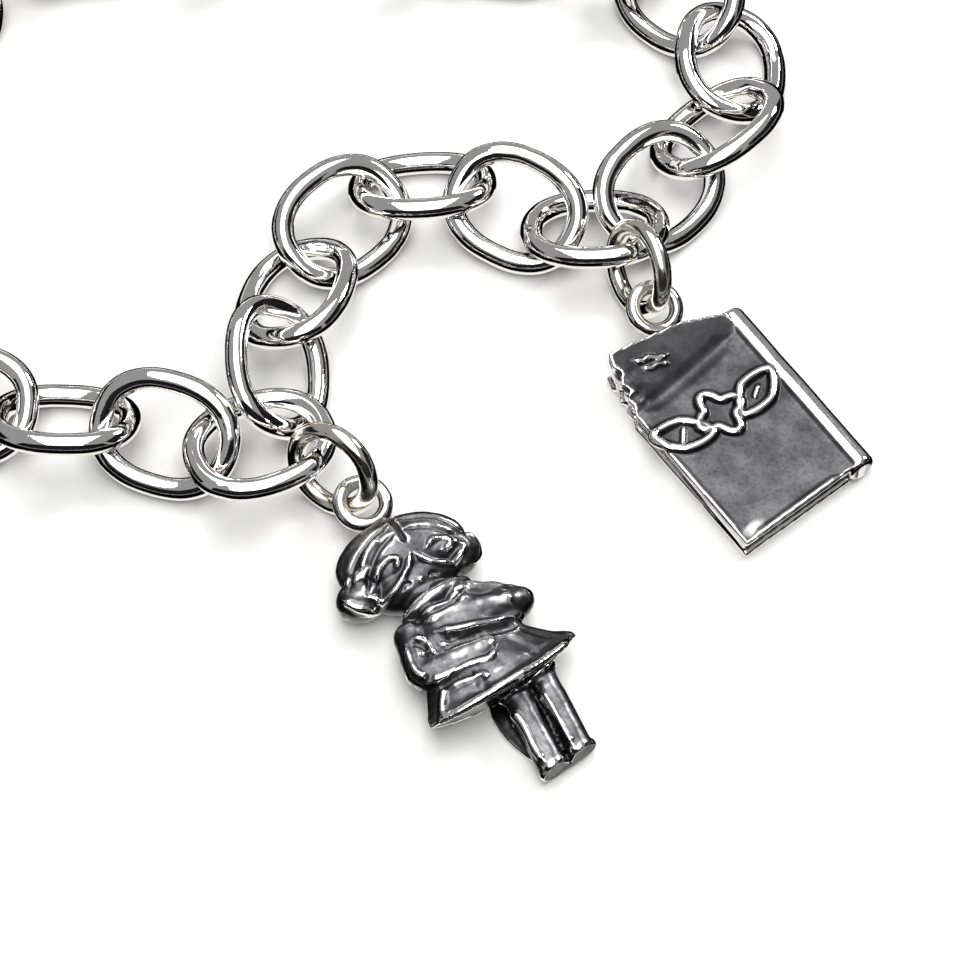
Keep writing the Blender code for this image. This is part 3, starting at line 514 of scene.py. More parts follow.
class Skin:
    """A fine skin whose vertices are moved as a graver would, with how its surface is worn and where sheen
    is painted on it.
    """

    def __init__(self, data):
        self.data = data
        count = len(data.vertices)
        flat = np.zeros(count * 3)
        data.vertices.foreach_get("co", flat)
        self.points = flat.reshape(-1, 3)
        pairs = np.zeros(len(data.edges) * 2, dtype=np.int64)
        data.edges.foreach_get("vertices", pairs)
        self.pairs = pairs.reshape(-1, 2)
        self.degree = np.maximum(np.bincount(pairs, minlength=count), 1)
        # Brightness from raised strokes and polish, and on the book painted highlight as well.
        self.rubbed = np.zeros(count)

    def write(self):
        self.data.vertices.foreach_set("co", self.points.ravel())
        self.data.update()

    def normals(self):
        self.write()
        flat = np.zeros(len(self.points) * 3)
        self.data.vertex_normals.foreach_get("vector", flat)
        return flat.reshape(-1, 3)

    def smoothed(self, values, rounds):
        """Values spread along the skin, each round to the neighbours."""
        one, two = self.pairs.T
        count = len(values)
        for _ in range(rounds):
            total = np.zeros_like(values)
            for axis in range(values.shape[1]):
                total[:, axis] = np.bincount(one, values[two, axis], count)
                total[:, axis] += np.bincount(two, values[one, axis], count)
            values = 0.5 * values + 0.5 * total / self.degree[:, None]
        return values

    def stroke(self, points, width, rise, normals, above):
        """Raise a ridge, or cut a groove where the rise is below 0, along a line seen from above."""
        line = spline(points, 6) * MM
        low = line.min(axis=0) - width
        high = line.max(axis=0) + width
        near = ((self.points[:, :2] > low) & (self.points[:, :2] < high)).all(axis=1)
        near &= (self.points[:, 2] > above) & (normals[:, 2] > 0.05)
        index = np.nonzero(near)[0]
        spots = self.points[index, :2]
        best = np.full(len(index), np.inf)
        along = np.zeros(len(index))
        for step, (start, end) in enumerate(zip(line, line[1:])):
            span = end - start
            share = np.clip((spots - start) @ span / max(span @ span, 1e-18), 0.0, 1.0)
            distance = np.linalg.norm(spots - start - share[:, None] * span, axis=1)
            closer = distance < best
            best[closer] = distance[closer]
            along[closer] = (step + share[closer]) / (len(line) - 1)
        taper = np.clip(np.minimum(along, 1 - along) / 0.12, 0.35, 1.0)
        share = np.clip(1 - (best / (width * taper)) ** 2, 0.0, None) ** 2
        self.points[index] += normals[index] * (rise * share * taper)[:, None]
        if rise > 0:
            bright = np.minimum(1.3 * min(1.0, rise / (0.24 * MM)) * share * taper, 1.0)
            self.rubbed[index] = np.maximum(self.rubbed[index], bright)

    def rub_and_sheen(self, amount):
        """Brighten the skin by a share that depends on the place and the way that it faces: polish, and on
        the book painted highlight too.
        """
        self.rubbed = np.maximum(self.rubbed, amount(self.points / MM, self.normals()))

    def roughen(self, size, height, seed, where=None):
        """Uneven cast skin: bumps of about a size, up to a height."""
        normals = self.normals()
        spots = self.points / size
        shift = Vector((seed, seed, seed))
        swell = np.array([noise.noise(Vector(spot) + shift) for spot in spots]) * height
        if where is not None:
            swell *= where(self.points)
        self.points += normals * swell[:, None]

    def weather(self, reach):
        """Store how open each place lies, which the material also uses as painted shade, and how much its
        edges are rubbed bright.
        """
        normals = self.normals()
        edge = np.zeros(len(self.points))
        for rounds, full, share in ((6, 0.022 * MM, 0.45), (40, 0.085 * MM, 0.55)):
            proud = ((self.points - self.smoothed(self.points, rounds)) * normals).sum(axis=1)
            edge += np.clip(proud / full, -1.0, 1.0) * share
        tree = BVHTree.FromPolygons([Vector(point) for point in self.points],
                                    [tuple(face.vertices) for face in self.data.polygons])
        rays = []
        for ring, (count, height) in enumerate(((1, 1.0), (5, 0.72), (7, 0.34))):
            for step in range(count):
                turn = 2 * math.pi * step / count + ring
                flat = math.sqrt(1 - height * height)
                rays.append(np.array((flat * math.cos(turn), flat * math.sin(turn), height)))
        # Short rays cast over each place's hemisphere; the blocked share darkens it as oxide and as painted
        # shade.
        openness = np.zeros(len(self.points))
        for index, (point, normal) in enumerate(zip(self.points, normals)):
            axis = Vector(normal)
            spin = axis.to_track_quat("Z", "Y").to_matrix()
            origin = Vector(point) + axis * (0.03 * MM)
            free = 0
            for ray in rays:
                if tree.ray_cast(origin, spin @ Vector(ray), reach)[0] is None:
                    free += 1
            openness[index] = free / len(rays)
        openness = self.smoothed(openness[:, None], 2)[:, 0]
        wear_and_sheen = np.clip(0.5 + 0.5 * edge, 0.0, 1.0) * np.clip((openness - 0.35) / 0.5, 0.0, 1.0)
        # The given brightness, with the book's painted highlights, is laid over the rubbed edges.
        wear_and_sheen = np.maximum(wear_and_sheen, self.rubbed)
        for name, values in (("wear_and_sheen", wear_and_sheen), ("openness", openness)):
            layer = self.data.attributes.new(name, "FLOAT", "POINT")
            layer.data.foreach_set("value", values.astype(np.float32))

    def flatten_back(self, low):
        """Bring the filed back to one plane."""
        self.points[:, 2] = np.maximum(self.points[:, 2], low)


COAT_SECTIONS = (
    # height, width, depth, sag, squareness
    (0.285, 0.30, 0.50, 0.0, 2.0),
    (0.240, 0.50, 0.70, 0.0, 2.0),
    (0.160, 0.57, 0.80, 0.0, 2.0),
    (0.100, 0.60, 0.80, 0.0, 1.9),
    (0.040, 0.68, 0.82, 0.1, 1.8),
    (-0.020, 0.82, 0.85, 0.4, 1.7),
    (-0.060, 0.92, 0.88, 0.8, 1.55),
    (-0.080, 0.96, 0.90, 1.0, 1.45),
    (-0.098, 0.97, 0.88, 1.0, 1.45),
)
LIMBS = {
    # name: start and end as shares of hem width, height and depth, then radii as shares of leg width
    "left_leg": ((0.080, -0.015, 0.42), (-0.040, -0.362, 0.30), 0.58, 0.56),
    "right_leg": ((0.253, -0.015, 0.42), (0.138, -0.360, 0.30), 0.58, 0.56),
    "upper_sleeve": ((-0.225, 0.205, 0.50), (-0.300, 0.088, 0.54), 0.66, 0.66),
    "forearm": ((-0.295, 0.072, 0.56), (0.035, 0.030, 0.70), 0.64, 0.52),
    "cape": ((0.130, 0.215, 0.52), (0.335, 0.155, 0.46), 0.90, 0.56),
    "cape_fold": ((-0.060, 0.205, 0.60), (0.300, 0.135, 0.60), 0.66, 0.55),
}
LUMPS = {
    # name: centre and radii as shares of hem width, height and depth, then the turn in degrees
    "left_shoe": ((-0.040, -0.374, 0.26), (0.092, 0.026, 0.19), 0.0),
    "right_shoe": ((0.146, -0.372, 0.26), (0.092, 0.026, 0.19), 0.0),
    "leg_web": ((0.060, -0.240, 0.16), (0.110, 0.155, 0.14), 0.0),
    "rough_lump": ((-0.035, -0.215, 0.12), (0.085, 0.135, 0.11), 6.0),
    "cape_wing": ((0.235, 0.140, 0.42), (0.255, 0.064, 0.36), -8.0),
    "cape_shoulder": ((0.230, 0.185, 0.40), (0.190, 0.065, 0.34), -22.0),
    "neck": ((0.010, 0.300, 0.42), (0.160, 0.075, 0.32), 0.0),
    "collar": ((0.020, 0.262, 0.50), (0.230, 0.040, 0.36), 0.0),
}
HEAD_LUMPS = {
    # name: centre, then radii, as shares of head width, head height and depth
    "hair": ((0.01, 0.06, 0.48), (0.435, 0.44, 0.50)),
    "face": ((0.0, -0.27, 0.42), (0.310, 0.27, 0.42)),
    "left_curl": ((-0.325, -0.22, 0.43), (0.180, 0.22, 0.37)),
    "right_curl": ((0.325, -0.13, 0.43), (0.155, 0.23, 0.37)),
    "left_lock": ((-0.215, -0.10, 0.70), (0.200, 0.12, 0.19)),
    "right_lock": ((0.180, -0.12, 0.72), (0.210, 0.11, 0.17)),
}
HEAD_CENTRE = (0.02, 0.440)  # shares of the hem's width and of the height
SOLE = -0.384  # the flat soles, as a share of the height
HEM_SLANT = 0.30  # how far the hem rises to its back, as a share of the depth
HEM_SHIFT = 0.035  # how far the hem swings aside, as a share of its width
FIGURE_BAIL = (0.5 * MM, 0.50, 12.0)  # shift sideways, height as a share of the depth, tilt in degrees
FIGURE_PLACE = (11.136 * MM, 9.056 * MM)  # the girl's middle from her node's lowest corner
STROKE_FLOOR = 0.8 * MM  # strokes only mark what stands higher than this

FIGURE_STROKES = {
    # name: width and rise, then the line, in millimetres from the charm's middle
    "hem_rim": (0.50, 0.34, ((-5.5, -1.75), (-5.1, -1.95), (-3.4, -2.4), (-1.4, -2.72), (0.6, -2.88),
                             (2.8, -2.8), (5.0, -2.35), (6.2, -1.85))),
    "hem_groove": (0.55, -0.12, ((-4.8, -1.0), (-3.3, -1.6), (-1.4, -1.95), (0.7, -2.1), (2.8, -2.0),
                                 (5.0, -1.5))),
    "coat_front": (0.40, 0.26, ((-5.0, -1.9), (-4.45, -1.0), (-3.6, -0.1))),
    "pocket": (0.36, 0.24, ((-3.4, -0.35), (-2.4, -0.6), (-1.0, -1.25), (-1.2, -1.6))),
    "pocket_shade": (0.40, -0.22, ((-4.0, 0.1), (-2.6, -0.25), (-1.3, -0.9))),
    "cuff": (0.34, 0.20, ((0.85, 0.2), (1.10, 0.9), (0.8, 1.4))),
    "sleeve_rim": (0.42, 0.30, ((-4.4, 0.85), (-3.1, 0.55), (-1.5, 0.15), (0.1, -0.45), (0.85, 0.1))),
    "sleeve_top": (0.34, -0.24, ((-3.6, 2.75), (-2.0, 2.3), (-0.3, 1.85), (1.2, 1.7))),
    "sleeve_side": (0.34, 0.24, ((-3.9, 4.2), (-4.4, 2.9), (-4.6, 1.9), (-4.3, 1.0))),
    "sleeve_curl": (0.36, 0.32, ((-3.3, 4.3), (-2.6, 3.7), (-2.65, 2.8), (-2.25, 2.0))),
    "sleeve_fold": (0.30, -0.24, ((-3.5, 4.0), (-3.1, 3.4), (-2.9, 2.9))),
    "cape_rim": (0.46, 0.36, ((-1.7, 3.8), (-0.5, 3.0), (1.0, 2.4), (2.3, 2.0), (3.9, 1.8), (5.8, 1.5))),
    "cape_shade": (0.60, -0.40, ((-1.7, 3.0), (-0.6, 2.2), (0.9, 1.65), (2.4, 1.25), (3.9, 1.05))),
    "cape_crease": (0.45, -0.16, ((1.2, 5.6), (2.6, 4.6), (4.4, 3.4))),
    "cape_light": (0.40, 0.14, ((2.2, 5.9), (3.9, 4.8), (5.6, 3.6))),
    "collar_line": (0.34, -0.24, ((-2.4, 5.4), (-0.9, 5.05), (0.9, 4.95), (2.2, 5.3))),
    "left_shin": (0.36, 0.30, ((-0.55, -3.6), (-0.60, -5.4), (-1.00, -7.4), (-1.05, -8.5))),
    "right_shin": (0.36, 0.30, ((1.85, -3.8), (1.74, -5.5), (1.44, -7.6), (1.33, -8.6))),
    "leg_gap": (0.40, -0.30, ((1.75, -3.8), (1.45, -5.6), (1.05, -7.4), (0.80, -8.8))),
    "skirt_fold_one": (0.60, -0.12, ((-1.2, -0.9), (-1.5, -1.7), (-1.8, -2.5))),
    "skirt_fold_two": (0.60, -0.12, ((2.0, 1.0), (2.6, -0.6), (3.2, -2.0))),
    "skirt_fold_three": (0.55, -0.10, ((3.6, 0.8), (4.5, -0.5), (5.2, -1.3))),
    "parting": (0.30, -0.22, ((1.0, 13.3), (0.8, 12.0), (0.55, 10.4))),
    "hair_left_one": (0.30, -0.20, ((0.5, 12.6), (-1.4, 12.3), (-3.4, 11.4), (-4.7, 10.0))),
    "hair_left_two": (0.30, -0.22, ((0.4, 11.6), (-1.2, 11.2), (-2.8, 10.2), (-3.9, 8.9))),
    "hair_right_one": (0.30, -0.20, ((1.3, 12.6), (3.0, 11.9), (4.5, 10.5), (5.1, 9.2))),
    "hair_right_two": (0.30, -0.22, ((1.1, 11.5), (2.6, 10.8), (3.9, 9.6), (4.6, 8.4))),
    "hair_light_left": (0.32, 0.24, ((-0.8, 12.0), (-2.0, 11.55), (-3.1, 10.8))),
    "fringe_left": (0.32, 0.34, ((-3.9, 9.0), (-2.9, 8.35), (-1.7, 8.35), (-0.5, 8.85), (0.4, 9.7))),
    "fringe_right": (0.32, 0.34, ((0.6, 9.6), (1.2, 8.65), (2.2, 8.05), (3.3, 7.95), (4.2, 8.3))),
    "lock_left": (0.28, 0.30, ((-3.0, 9.3), (-2.2, 10.0), (-1.2, 10.2), (-0.6, 9.8), (-1.3, 9.3))),
    "lock_right": (0.28, 0.30, ((1.6, 9.4), (2.4, 9.7), (3.2, 9.3), (3.3, 8.8), (2.5, 8.8))),
    "curl_left": (0.30, 0.30, ((-5.4, 10.0), (-4.9, 9.0), (-4.1, 8.4), (-3.2, 8.1))),
    "curl_right": (0.30, 0.28, ((4.9, 9.5), (5.3, 8.5), (5.0, 7.6), (4.2, 7.1))),
    "left_eye": (0.20, -0.16, ((-1.55, 7.95), (-1.15, 8.12), (-0.75, 7.92))),
    "right_eye": (0.20, -0.16, ((0.65, 7.68), (1.05, 7.78), (1.45, 7.52))),
    "nose": (0.24, 0.16, ((0.0, 8.0), (-0.08, 7.6))),
    "mouth": (0.18, -0.14, ((-0.55, 7.12), (-0.15, 7.0), (0.25, 7.02))),
}


def loft(mesh, sections, width, depth, height, sag):
    """Add a closed body through oval sections: a disc pushed out in steps, then moved to its sections."""
    disc = bmesh.ops.create_circle(mesh, cap_ends=True, segments=64, radius=1.0)["verts"]
    face = disc[0].link_faces[0]
    rows = spline(sections, 4)
    made = set(disc)
    for _ in rows[1:]:
        grown = bmesh.ops.extrude_face_region(mesh, geom=[face])["geom"]
        verts = [item for item in grown if isinstance(item, bmesh.types.BMVert)]
        face = next(item for item in grown if isinstance(item, bmesh.types.BMFace))
        bmesh.ops.translate(mesh, verts=verts, vec=(0.0, 0.0, 1.0))
        made.update(verts)
    for vert in made:
        level, wide, deep, hang, square = rows[min(round(vert.co.z), len(rows) - 1)]
        spot, _ = oval(width * wide, depth * deep, math.atan2(vert.co.y, vert.co.x), max(square, 1.2))
        drop = sag * hang * (1 - (spot.x / (width * wide / 2)) ** 2)
        rise = depth * deep / 2 + spot.y
        drop -= HEM_SLANT * hang * (depth * deep - rise)
        vert.co = (spot.x + HEM_SHIFT * hang * width, level * height - drop, rise)


def bail(mesh, place, tilt, sizes):
    """Add a small round ring with its bead of solder, its outer side tilted up."""
    lean = Matrix.Translation(place) @ Matrix.Rotation(math.radians(tilt), 4, "X")
    ring = bmesh.new()
    bent_ring(ring, sizes.diameter, sizes.diameter, sizes.wire, 2.0, steps=56, sides=20)
    ring.transform(lean)
    join(mesh, ring)
    foot = lean @ Vector((0.0, -(sizes.diameter / 2 - 0.2 * sizes.wire), 0.0))
    lump(mesh, foot, (sizes.solder * 0.5, sizes.solder * 0.4, sizes.wire * 0.55))


def charm_place(node, offset, turn):
    """The place of a charm's own frame, from its node's lowest corner."""
    low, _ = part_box(node)
    middle = Vector((low.x + offset[0], low.y + offset[1], low.z))
    return Matrix.Translation(middle) @ Matrix.Rotation(turn, 4, "Z")


class BRACELET_OT_figure(bpy.types.Operator):
    """Make the cast girl with her coat, cape, hair and bail"""

    bl_idname = "bracelet.figure"
    bl_label = "Girl charm"

    def execute(self, context):
        sizes = context.scene.bracelet_figure
        bail_sizes = context.scene.bracelet_bail
        mesh = bmesh.new()
        loft(mesh, COAT_SECTIONS, sizes.hem_width, sizes.depth, sizes.height, sizes.hem_sag)
        body = Vector((sizes.hem_width, sizes.height, sizes.depth))
        for start, end, start_share, end_share in LIMBS.values():
            limb(mesh, body * Vector(start), body * Vector(end), start_share * sizes.leg_width,
                 end_share * sizes.leg_width)
        for centre, radii, turn in LUMPS.values():
            lump(mesh, body * Vector(centre), body * Vector(radii), turn)
        head = bmesh.new()
        skull = Vector((sizes.head_width, sizes.head_height, sizes.depth))
        for centre, radii in HEAD_LUMPS.values():
            lump(head, skull * Vector(centre), skull * Vector(radii))
        middle = Vector((HEAD_CENTRE[0] * sizes.hem_width, HEAD_CENTRE[1] * sizes.height, 0.0))
        head.transform(Matrix.Translation(middle) @ Matrix.Rotation(sizes.head_tilt, 4, "Z"))
        join(mesh, head)
        sideways, up, tilt = FIGURE_BAIL
        top = (HEAD_LUMPS["hair"][0][1] + HEAD_LUMPS["hair"][1][1]) * sizes.head_height
        place = Vector((middle.x + sideways, middle.y + top + bail_sizes.diameter / 2 - bail_sizes.sink,
                        sizes.depth * up))
        bail(mesh, place, tilt, bail_sizes)
        skin = Skin(melted("girl_skin", mesh, sizes.grain))
        skin.roughen(size=1.3 * MM, height=0.05 * MM, seed=3.0)
        bail_edge = place.y - bail_sizes.diameter / 2
        for width, rise, line in FIGURE_STROKES.values():
            skin.stroke(line, width * MM, rise * MM, skin.normals(), sizes.back_cut + STROKE_FLOOR)
        skin.points[:, 1] = np.maximum(skin.points[:, 1], SOLE * sizes.height)
        skin.points = skin.smoothed(skin.points, 2)
        skin.roughen(size=0.60 * MM, height=0.022 * MM, seed=11.0,
                     where=lambda points: points[:, 1] < bail_edge)
        skin.rub_and_sheen(lambda points, normals: 0.80 * (points[:, 1] > bail_edge / MM + 0.4))
        skin.flatten_back(sizes.back_cut)
        skin.weather(1.5 * MM)
        skin.write()
        matrix = charm_place("figure_charm", FIGURE_PLACE, sizes.turn)
        skin.data.transform(matrix @ Matrix.Translation((0.0, 0.0, -sizes.back_cut)))
        material = oxidised_silver("oxidised_girl", context.scene.bracelet_finish, 1.6)
        dressed("girl_charm", skin.data, "figure_charm", material)
        return {"FINISHED"}


BOOK_OUTLINE = (
    # x and y as shares of the width and the length, from the foot of the spine round the fore edge
    (0.0, 0.0),
    (-0.985, -0.055),
    (-1.0, 0.784),
    (-0.965, 0.830),
    (-0.985, 0.862),
    (-0.930, 0.900),
    (-0.965, 0.940),
    (-0.910, 0.985),
    (-0.945, 1.020),
    (-0.920, 1.085),
    (-0.330, 1.060),
    (0.0, 1.0),
)
CREASE = ((-1.0, 0.780), (0.0, 0.905))
BOOK_BAIL = (0.40, 1.35, 20.0)  # place across, height as a share of the thickness, tilt in degrees
BOOK_PLACE = (18.220 * MM, 6.8155 * MM)  # the foot of the spine from the node's lowest corner
RELIEFS = (
    # kind, turn in degrees, place across as a share of the width
    ("leaf", 152.0, 0.83),
    ("flower", 97.0, 0.52),
    ("leaf", 28.0, 0.21),
)
RELIEF_ROW = 0.575  # height of the ornaments' row as a share of the length
RELIEF_LIFT = 0.06 * MM
ROD_BEVEL = 0.4 * MM
ROD_OVERHANG = 0.3 * MM
TORN_REACH = 3.0 * MM  # radius of the torn place on the fore edge
TORN_RISE = 1.5 * MM  # its middle above the fold
BOOK_STROKES = {
    # name: width and rise, then the line, in millimetres from the foot of the spine
    "fore_rim": (0.50, 0.10, ((-10.72, -0.7), (-10.78, 4.0), (-10.84, 8.5), (-10.88, 12.4))),
    "foot_rim": (0.60, 0.12, ((-10.6, -0.80), (-7.0, -0.52), (-4.0, -0.25), (-1.2, -0.05))),
    "crease": (1.00, -0.12, ((-10.6, 12.8), (-7.0, 13.2), (-3.5, 13.9), (-0.9, 14.5))),
    "wave": (0.36, 0.22, ((-8.7, 16.3), (-8.1, 15.9), (-7.5, 15.95), (-6.8, 15.55), (-6.0, 15.5))),
    "wave_under": (0.32, 0.16, ((-8.4, 15.5), (-7.7, 15.2), (-7.0, 15.2), (-6.3, 14.85))),
    "leaf_rib_one": (0.30, 0.22, ((-9.6, 8.6), (-9.05, 9.3), (-8.5, 10.0))),
    "leaf_rib_two": (0.30, 0.22, ((-2.8, 8.9), (-2.25, 9.35), (-1.7, 9.8))),
}


def book_polish_and_sheen(points, normals):
    """Where the book is bright (points in mm): polish on the spine rod, page edges, foot and bail, a
    painted highlight on the rod's inner half and a painted sheen towards the lower corner.
    """
    x, y, z = points.T
    # Painted highlight: the rod's inner half is brighter than its polished outer half.
    rod = np.where(x < 0.55, 0.92, 0.80) * (x > -0.02)
    side = (normals[:, 2] < 0.4) | (z < 1.2)
    leaves = np.clip(0.84 + 0.14 * np.sin(z * 26.0), 0.0, 1.0) * side * (z < 1.9) * (x < -0.5)
    # Painted sheen: the cover lighter towards its lower fore corner.
    corner = 0.72 * np.exp(-(((x + 9.8) / 3.4) ** 2 + ((y + 0.2) / 2.0) ** 2))
    foot = 0.78 * np.exp(-((y + 0.30 - 0.055 * x) / 0.60) ** 2) * (x < -1.2)
    ring = 0.80 * (y > 17.6)
    return np.max([rod, leaves, corner, foot, ring], axis=0)


def relief_line(kind, size):
    """A raised ornament's line in its own plane: a pointed leaf or a four-petalled flower."""
    points = []
    for step in range(48):
        turn = 2 * math.pi * step / 48
        if kind == "leaf":
            points.append(oval(size * 1.15, size * 0.62, turn, 1.45)[0])
        else:
            reach = size / 2 * (0.80 + 0.20 * math.cos(4 * turn))
            points.append(Vector((reach * math.cos(turn), reach * math.sin(turn), 0.0)))
    return points


def plate(mesh, outline, low, high, inset):
    """Add a flat plate inside an outline."""
    middle = sum(outline, Vector()) / len(outline)
    verts = [mesh.verts.new(point + (middle - point).normalized() * inset + Vector((0.0, 0.0, low)))
             for point in outline]
    face = mesh.faces.new(verts)
    grown = bmesh.ops.extrude_face_region(mesh, geom=[face])["geom"]
    top = [item for item in grown if isinstance(item, bmesh.types.BMVert)]
    bmesh.ops.translate(mesh, verts=top, vec=(0.0, 0.0, high - low))


class BRACELET_OT_book(bpy.types.Operator):
    """Make the cast book with its spine rod, pages, raised ornaments and bail"""

    bl_idname = "bracelet.book"
    bl_label = "Book charm"

    def execute(self, context):
        sizes = context.scene.bracelet_book
        bail_sizes = context.scene.bracelet_bail
        mesh = bmesh.new()
        outline = [Vector((x * sizes.width, y * sizes.length, 0.0)) for x, y in BOOK_OUTLINE]
        top = sizes.thickness
        plate(mesh, outline, 0.0, sizes.cover, 0.0)
        plate(mesh, outline, sizes.cover * 0.8, top - sizes.cover * 0.8, sizes.page_inset)
        plate(mesh, outline, top - sizes.cover, top, 0.0)
        ends = [Vector((x * sizes.width, y * sizes.length, 0.0)) for x, y in CREASE]
        along = (ends[1] - ends[0]).normalized()
        beyond = Vector((-along.y, along.x, 0.0))
        geometry = mesh.verts[:] + mesh.edges[:] + mesh.faces[:]
        bmesh.ops.bisect_plane(mesh, geom=geometry, dist=1e-7, plane_co=ends[0], plane_no=beyond)
        for vert in mesh.verts:
            past = (vert.co - ends[0]).dot(beyond)
            if past > 0:
                share = max(0.0, vert.co.z - sizes.cover) / (top - sizes.cover)
                vert.co.z += past * math.tan(sizes.flap) * share
        bmesh.ops.triangulate(mesh, faces=mesh.faces)
        rod = Matrix.Translation((sizes.spine_shift, sizes.length / 2, sizes.spine / 2))
        rod = rod @ Matrix.Rotation(math.pi / 2, 4, "X")
        span = sizes.length + 2 * ROD_OVERHANG
        bmesh.ops.create_cone(mesh, cap_ends=True, segments=40, radius1=sizes.spine / 2,
                              radius2=sizes.spine / 2, depth=span, matrix=rod)
        caps = [edge for edge in mesh.edges if any(len(face.verts) > 4 for face in edge.link_faces)]
        bmesh.ops.bevel(mesh, geom=caps, offset=ROD_BEVEL, segments=4, profile=0.5, affect="EDGES",
                        material=-1)
        for kind, turn, across in RELIEFS:
            middle = (-across * sizes.width, RELIEF_ROW * sizes.length, top + RELIEF_LIFT)
            place = Matrix.Translation(middle) @ Matrix.Rotation(math.radians(turn), 4, "Z")
            wire_loop(mesh, relief_line(kind, sizes.relief_size), sizes.relief_wire, place)
        across, up, tilt = BOOK_BAIL
        xs, ys = zip(*sorted(BOOK_OUTLINE[-3:]))
        edge = float(np.interp(-across, xs, ys)) * sizes.length
        up_middle = edge + bail_sizes.diameter / 2 - bail_sizes.sink
        bail(mesh, Vector((-across * sizes.width, up_middle, top * up)), tilt, bail_sizes)
        skin = Skin(melted("book_skin", mesh, sizes.grain, 3))
        skin.roughen(size=2.6 * MM, height=0.035 * MM, seed=5.0)
        for width, rise, line in BOOK_STROKES.values():
            skin.stroke(line, width * MM, rise * MM, skin.normals(), top - 0.4 * MM)
        torn = (ends[0].x, ends[0].y + TORN_RISE)
        skin.roughen(size=0.55 * MM, height=0.12 * MM, seed=2.0, where=lambda points: np.clip(
            1 - np.linalg.norm(points[:, :2] - torn, axis=1) / TORN_REACH, 0.0, 1.0))
        skin.points = skin.smoothed(skin.points, 1)
        skin.flatten_back(0.0)
        skin.rub_and_sheen(book_polish_and_sheen)
        skin.weather(1.5 * MM)
        skin.write()
        skin.data.transform(charm_place("book_charm", BOOK_PLACE, sizes.turn))
        material = oxidised_silver("oxidised_book", context.scene.bracelet_finish, 0.85)
        dressed("closed_book_charm", skin.data, "book_charm", material)
        return {"FINISHED"}


def card(name, size, place, material):
    """A flat studio card, for the floor and for the flags that are seen only in reflections."""
    mesh = bmesh.new()
    bmesh.ops.create_grid(mesh, x_segments=1, y_segments=1, size=0.5,
                          matrix=place @ Matrix.Diagonal((size[0], size[1], 1.0, 1.0)))
    piece = placed(name, mesh_data(name, mesh))
    piece.data.materials.append(material)
    return piece


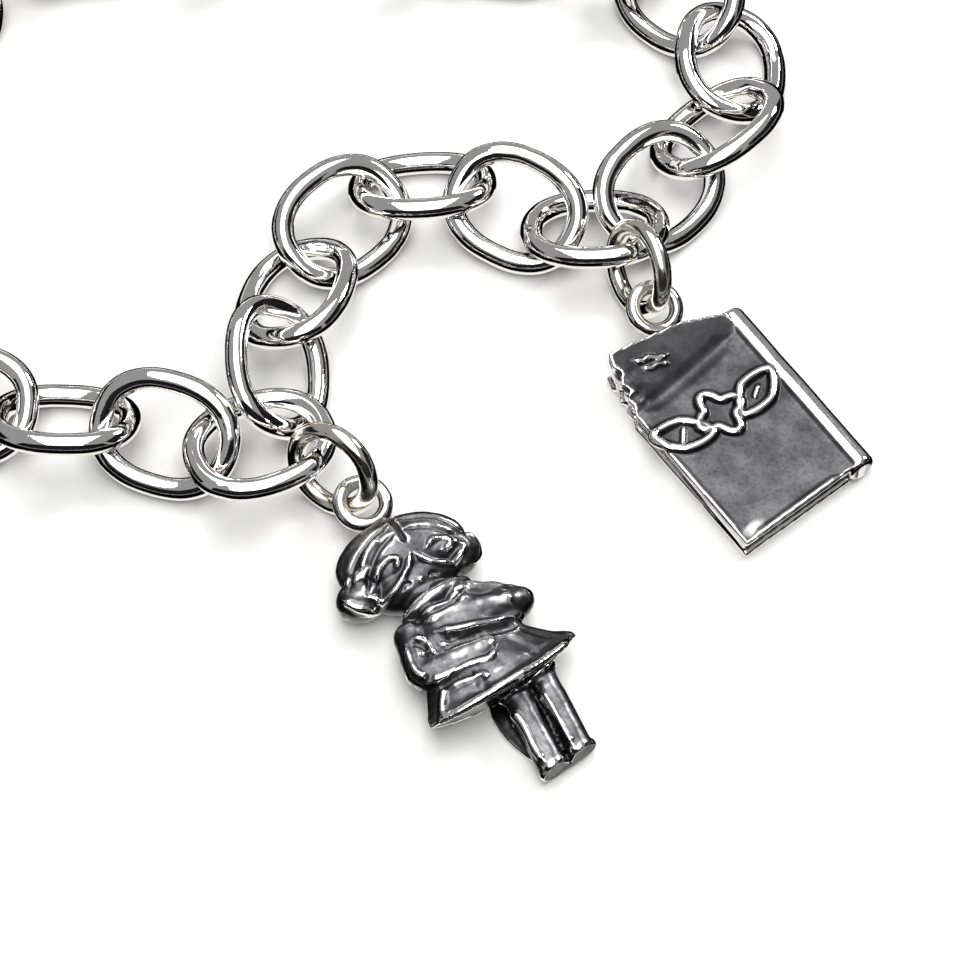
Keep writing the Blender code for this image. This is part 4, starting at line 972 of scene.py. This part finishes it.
class BRACELET_OT_stage(bpy.types.Operator):
    """Make the floor, the studio light and the camera"""

    bl_idname = "bracelet.stage"
    bl_label = "Stage"

    def execute(self, context):
        stage = context.scene.bracelet_stage
        low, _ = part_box("book_charm")
        aim = Vector((low.x, low.y, 0.0)) + Vector(stage.aim)
        data = bpy.data.cameras.new("camera")
        data.lens = stage.lens
        data.sensor_width = 36.0
        data.clip_start = 0.01
        camera = placed("camera", data)
        camera.rotation_euler = (math.pi / 2 - stage.elevation, 0.0, 0.0)
        back = Vector((0.0, -math.cos(stage.elevation), math.sin(stage.elevation)))
        camera.location = aim + back * stage.distance
        context.scene.camera = camera
        floor = card("floor", (4.0, 4.0), Matrix.Identity(4), floor_paint(stage.floor))
        # Glossy rays pass through the floor and meet the cards below it: a painted reflection of the floor.
        floor.visible_glossy = False
        black = glowing_paint("black_card", 0.0)
        lit = glowing_paint("painted_reflection_glow", stage.glow)
        upright = Matrix.Rotation(math.pi / 2, 4, "X")
        sideways = Matrix.Rotation(math.pi / 2, 4, "Z") @ upright
        cards = {
            # name: width and height, turn, place from the view's middle, paint
            "front_flag": ((1.1, 0.42), upright, (0.0, -0.44, 0.21), black),
            "right_flag": ((0.8, 0.34), sideways, (0.42, 0.16, 0.17), black),
            "left_flag": ((0.5, 0.20), sideways, (-0.46, 0.10, 0.10), black),
            # Below the floor: painted shade as the reflection of the floor round a wire, and a painted
            # reflection of the lit floor right under it.
            "painted_shade_reflection": ((8.0, 8.0), Matrix.Identity(4), (0.0, 0.0, -0.40), black),
            "painted_floor_reflection": ((0.60, 0.60), Matrix.Identity(4), (0.0, 0.0, -0.38), lit),
        }
        for name, (size, turn, spot, paint) in cards.items():
            piece = card(name, size, Matrix.Translation(aim + Vector(spot)) @ turn, paint)
            piece.visible_camera = False
        for name, power, size, spot, face in (
            # name, power, width and height, place from the view's middle, the way it faces
            ("softbox", stage.softbox, (0.32, 0.74), (-0.02, -0.02, 0.42), (0.0, 0.0, -1.0)),
            ("side_light", stage.side, (0.14, 0.10), (0.30, 0.24, 0.26), (-0.30, -0.24, -0.26)),
        ):
            light = bpy.data.lights.new(name, "AREA")
            light.shape = "RECTANGLE"
            light.size, light.size_y = size
            light.energy = power
            lamp = placed(name, light)
            lamp.location = aim + Vector(spot)
            lamp.rotation_euler = Vector(face).to_track_quat("-Z", "Y").to_euler()
        world = bpy.data.worlds.new("studio")
        world.use_nodes = True
        context.scene.world = world
        ground = world.node_tree.nodes["Background"]
        ground.inputs["Color"].default_value = (0.97, 0.98, 1.0, 1.0)
        ground.inputs["Strength"].default_value = stage.room
        context.scene.view_settings.view_transform = "Standard"
        return {"FINISHED"}


class BRACELET_PT_panel(bpy.types.Panel):
    """Lists the steps that build the bracelet"""

    bl_idname = "BRACELET_PT_panel"
    bl_label = "Charm bracelet"
    bl_space_type = "VIEW_3D"
    bl_region_type = "UI"
    bl_category = "Bracelet"

    def draw(self, context):
        for step in STEPS:
            self.layout.operator(step.bl_idname)
        for name in SETTINGS:
            box = self.layout.box()
            settings = getattr(context.scene, name)
            for key in settings.bl_rna.properties.keys():
                if key not in ("rna_type", "name"):
                    box.prop(settings, key)


SETTINGS = {
    "bracelet_chain": ChainSettings,
    "bracelet_figure": FigureSettings,
    "bracelet_book": BookSettings,
    "bracelet_bail": BailSettings,
    "bracelet_finish": FinishSettings,
    "bracelet_stage": StageSettings,
}
STEPS = (
    BRACELET_OT_stage,
    BRACELET_OT_links,
    BRACELET_OT_clasp,
    BRACELET_OT_jump_rings,
    BRACELET_OT_figure,
    BRACELET_OT_book,
)


def register():
    for name, group in SETTINGS.items():
        bpy.utils.register_class(group)
        setattr(bpy.types.Scene, name, bpy.props.PointerProperty(type=group))
    for step in (*STEPS, BRACELET_PT_panel):
        bpy.utils.register_class(step)


def unregister():
    for step in reversed((*STEPS, BRACELET_PT_panel)):
        bpy.utils.unregister_class(step)
    for name, group in reversed(SETTINGS.items()):
        delattr(bpy.types.Scene, name)
        bpy.utils.unregister_class(group)


def main():
    """Build every piece."""
    register()
    for step in (bpy.ops.bracelet.stage, bpy.ops.bracelet.links, bpy.ops.bracelet.clasp,
                 bpy.ops.bracelet.jump_rings, bpy.ops.bracelet.figure, bpy.ops.bracelet.book):
        step()


if __name__ == "__main__":
    main()
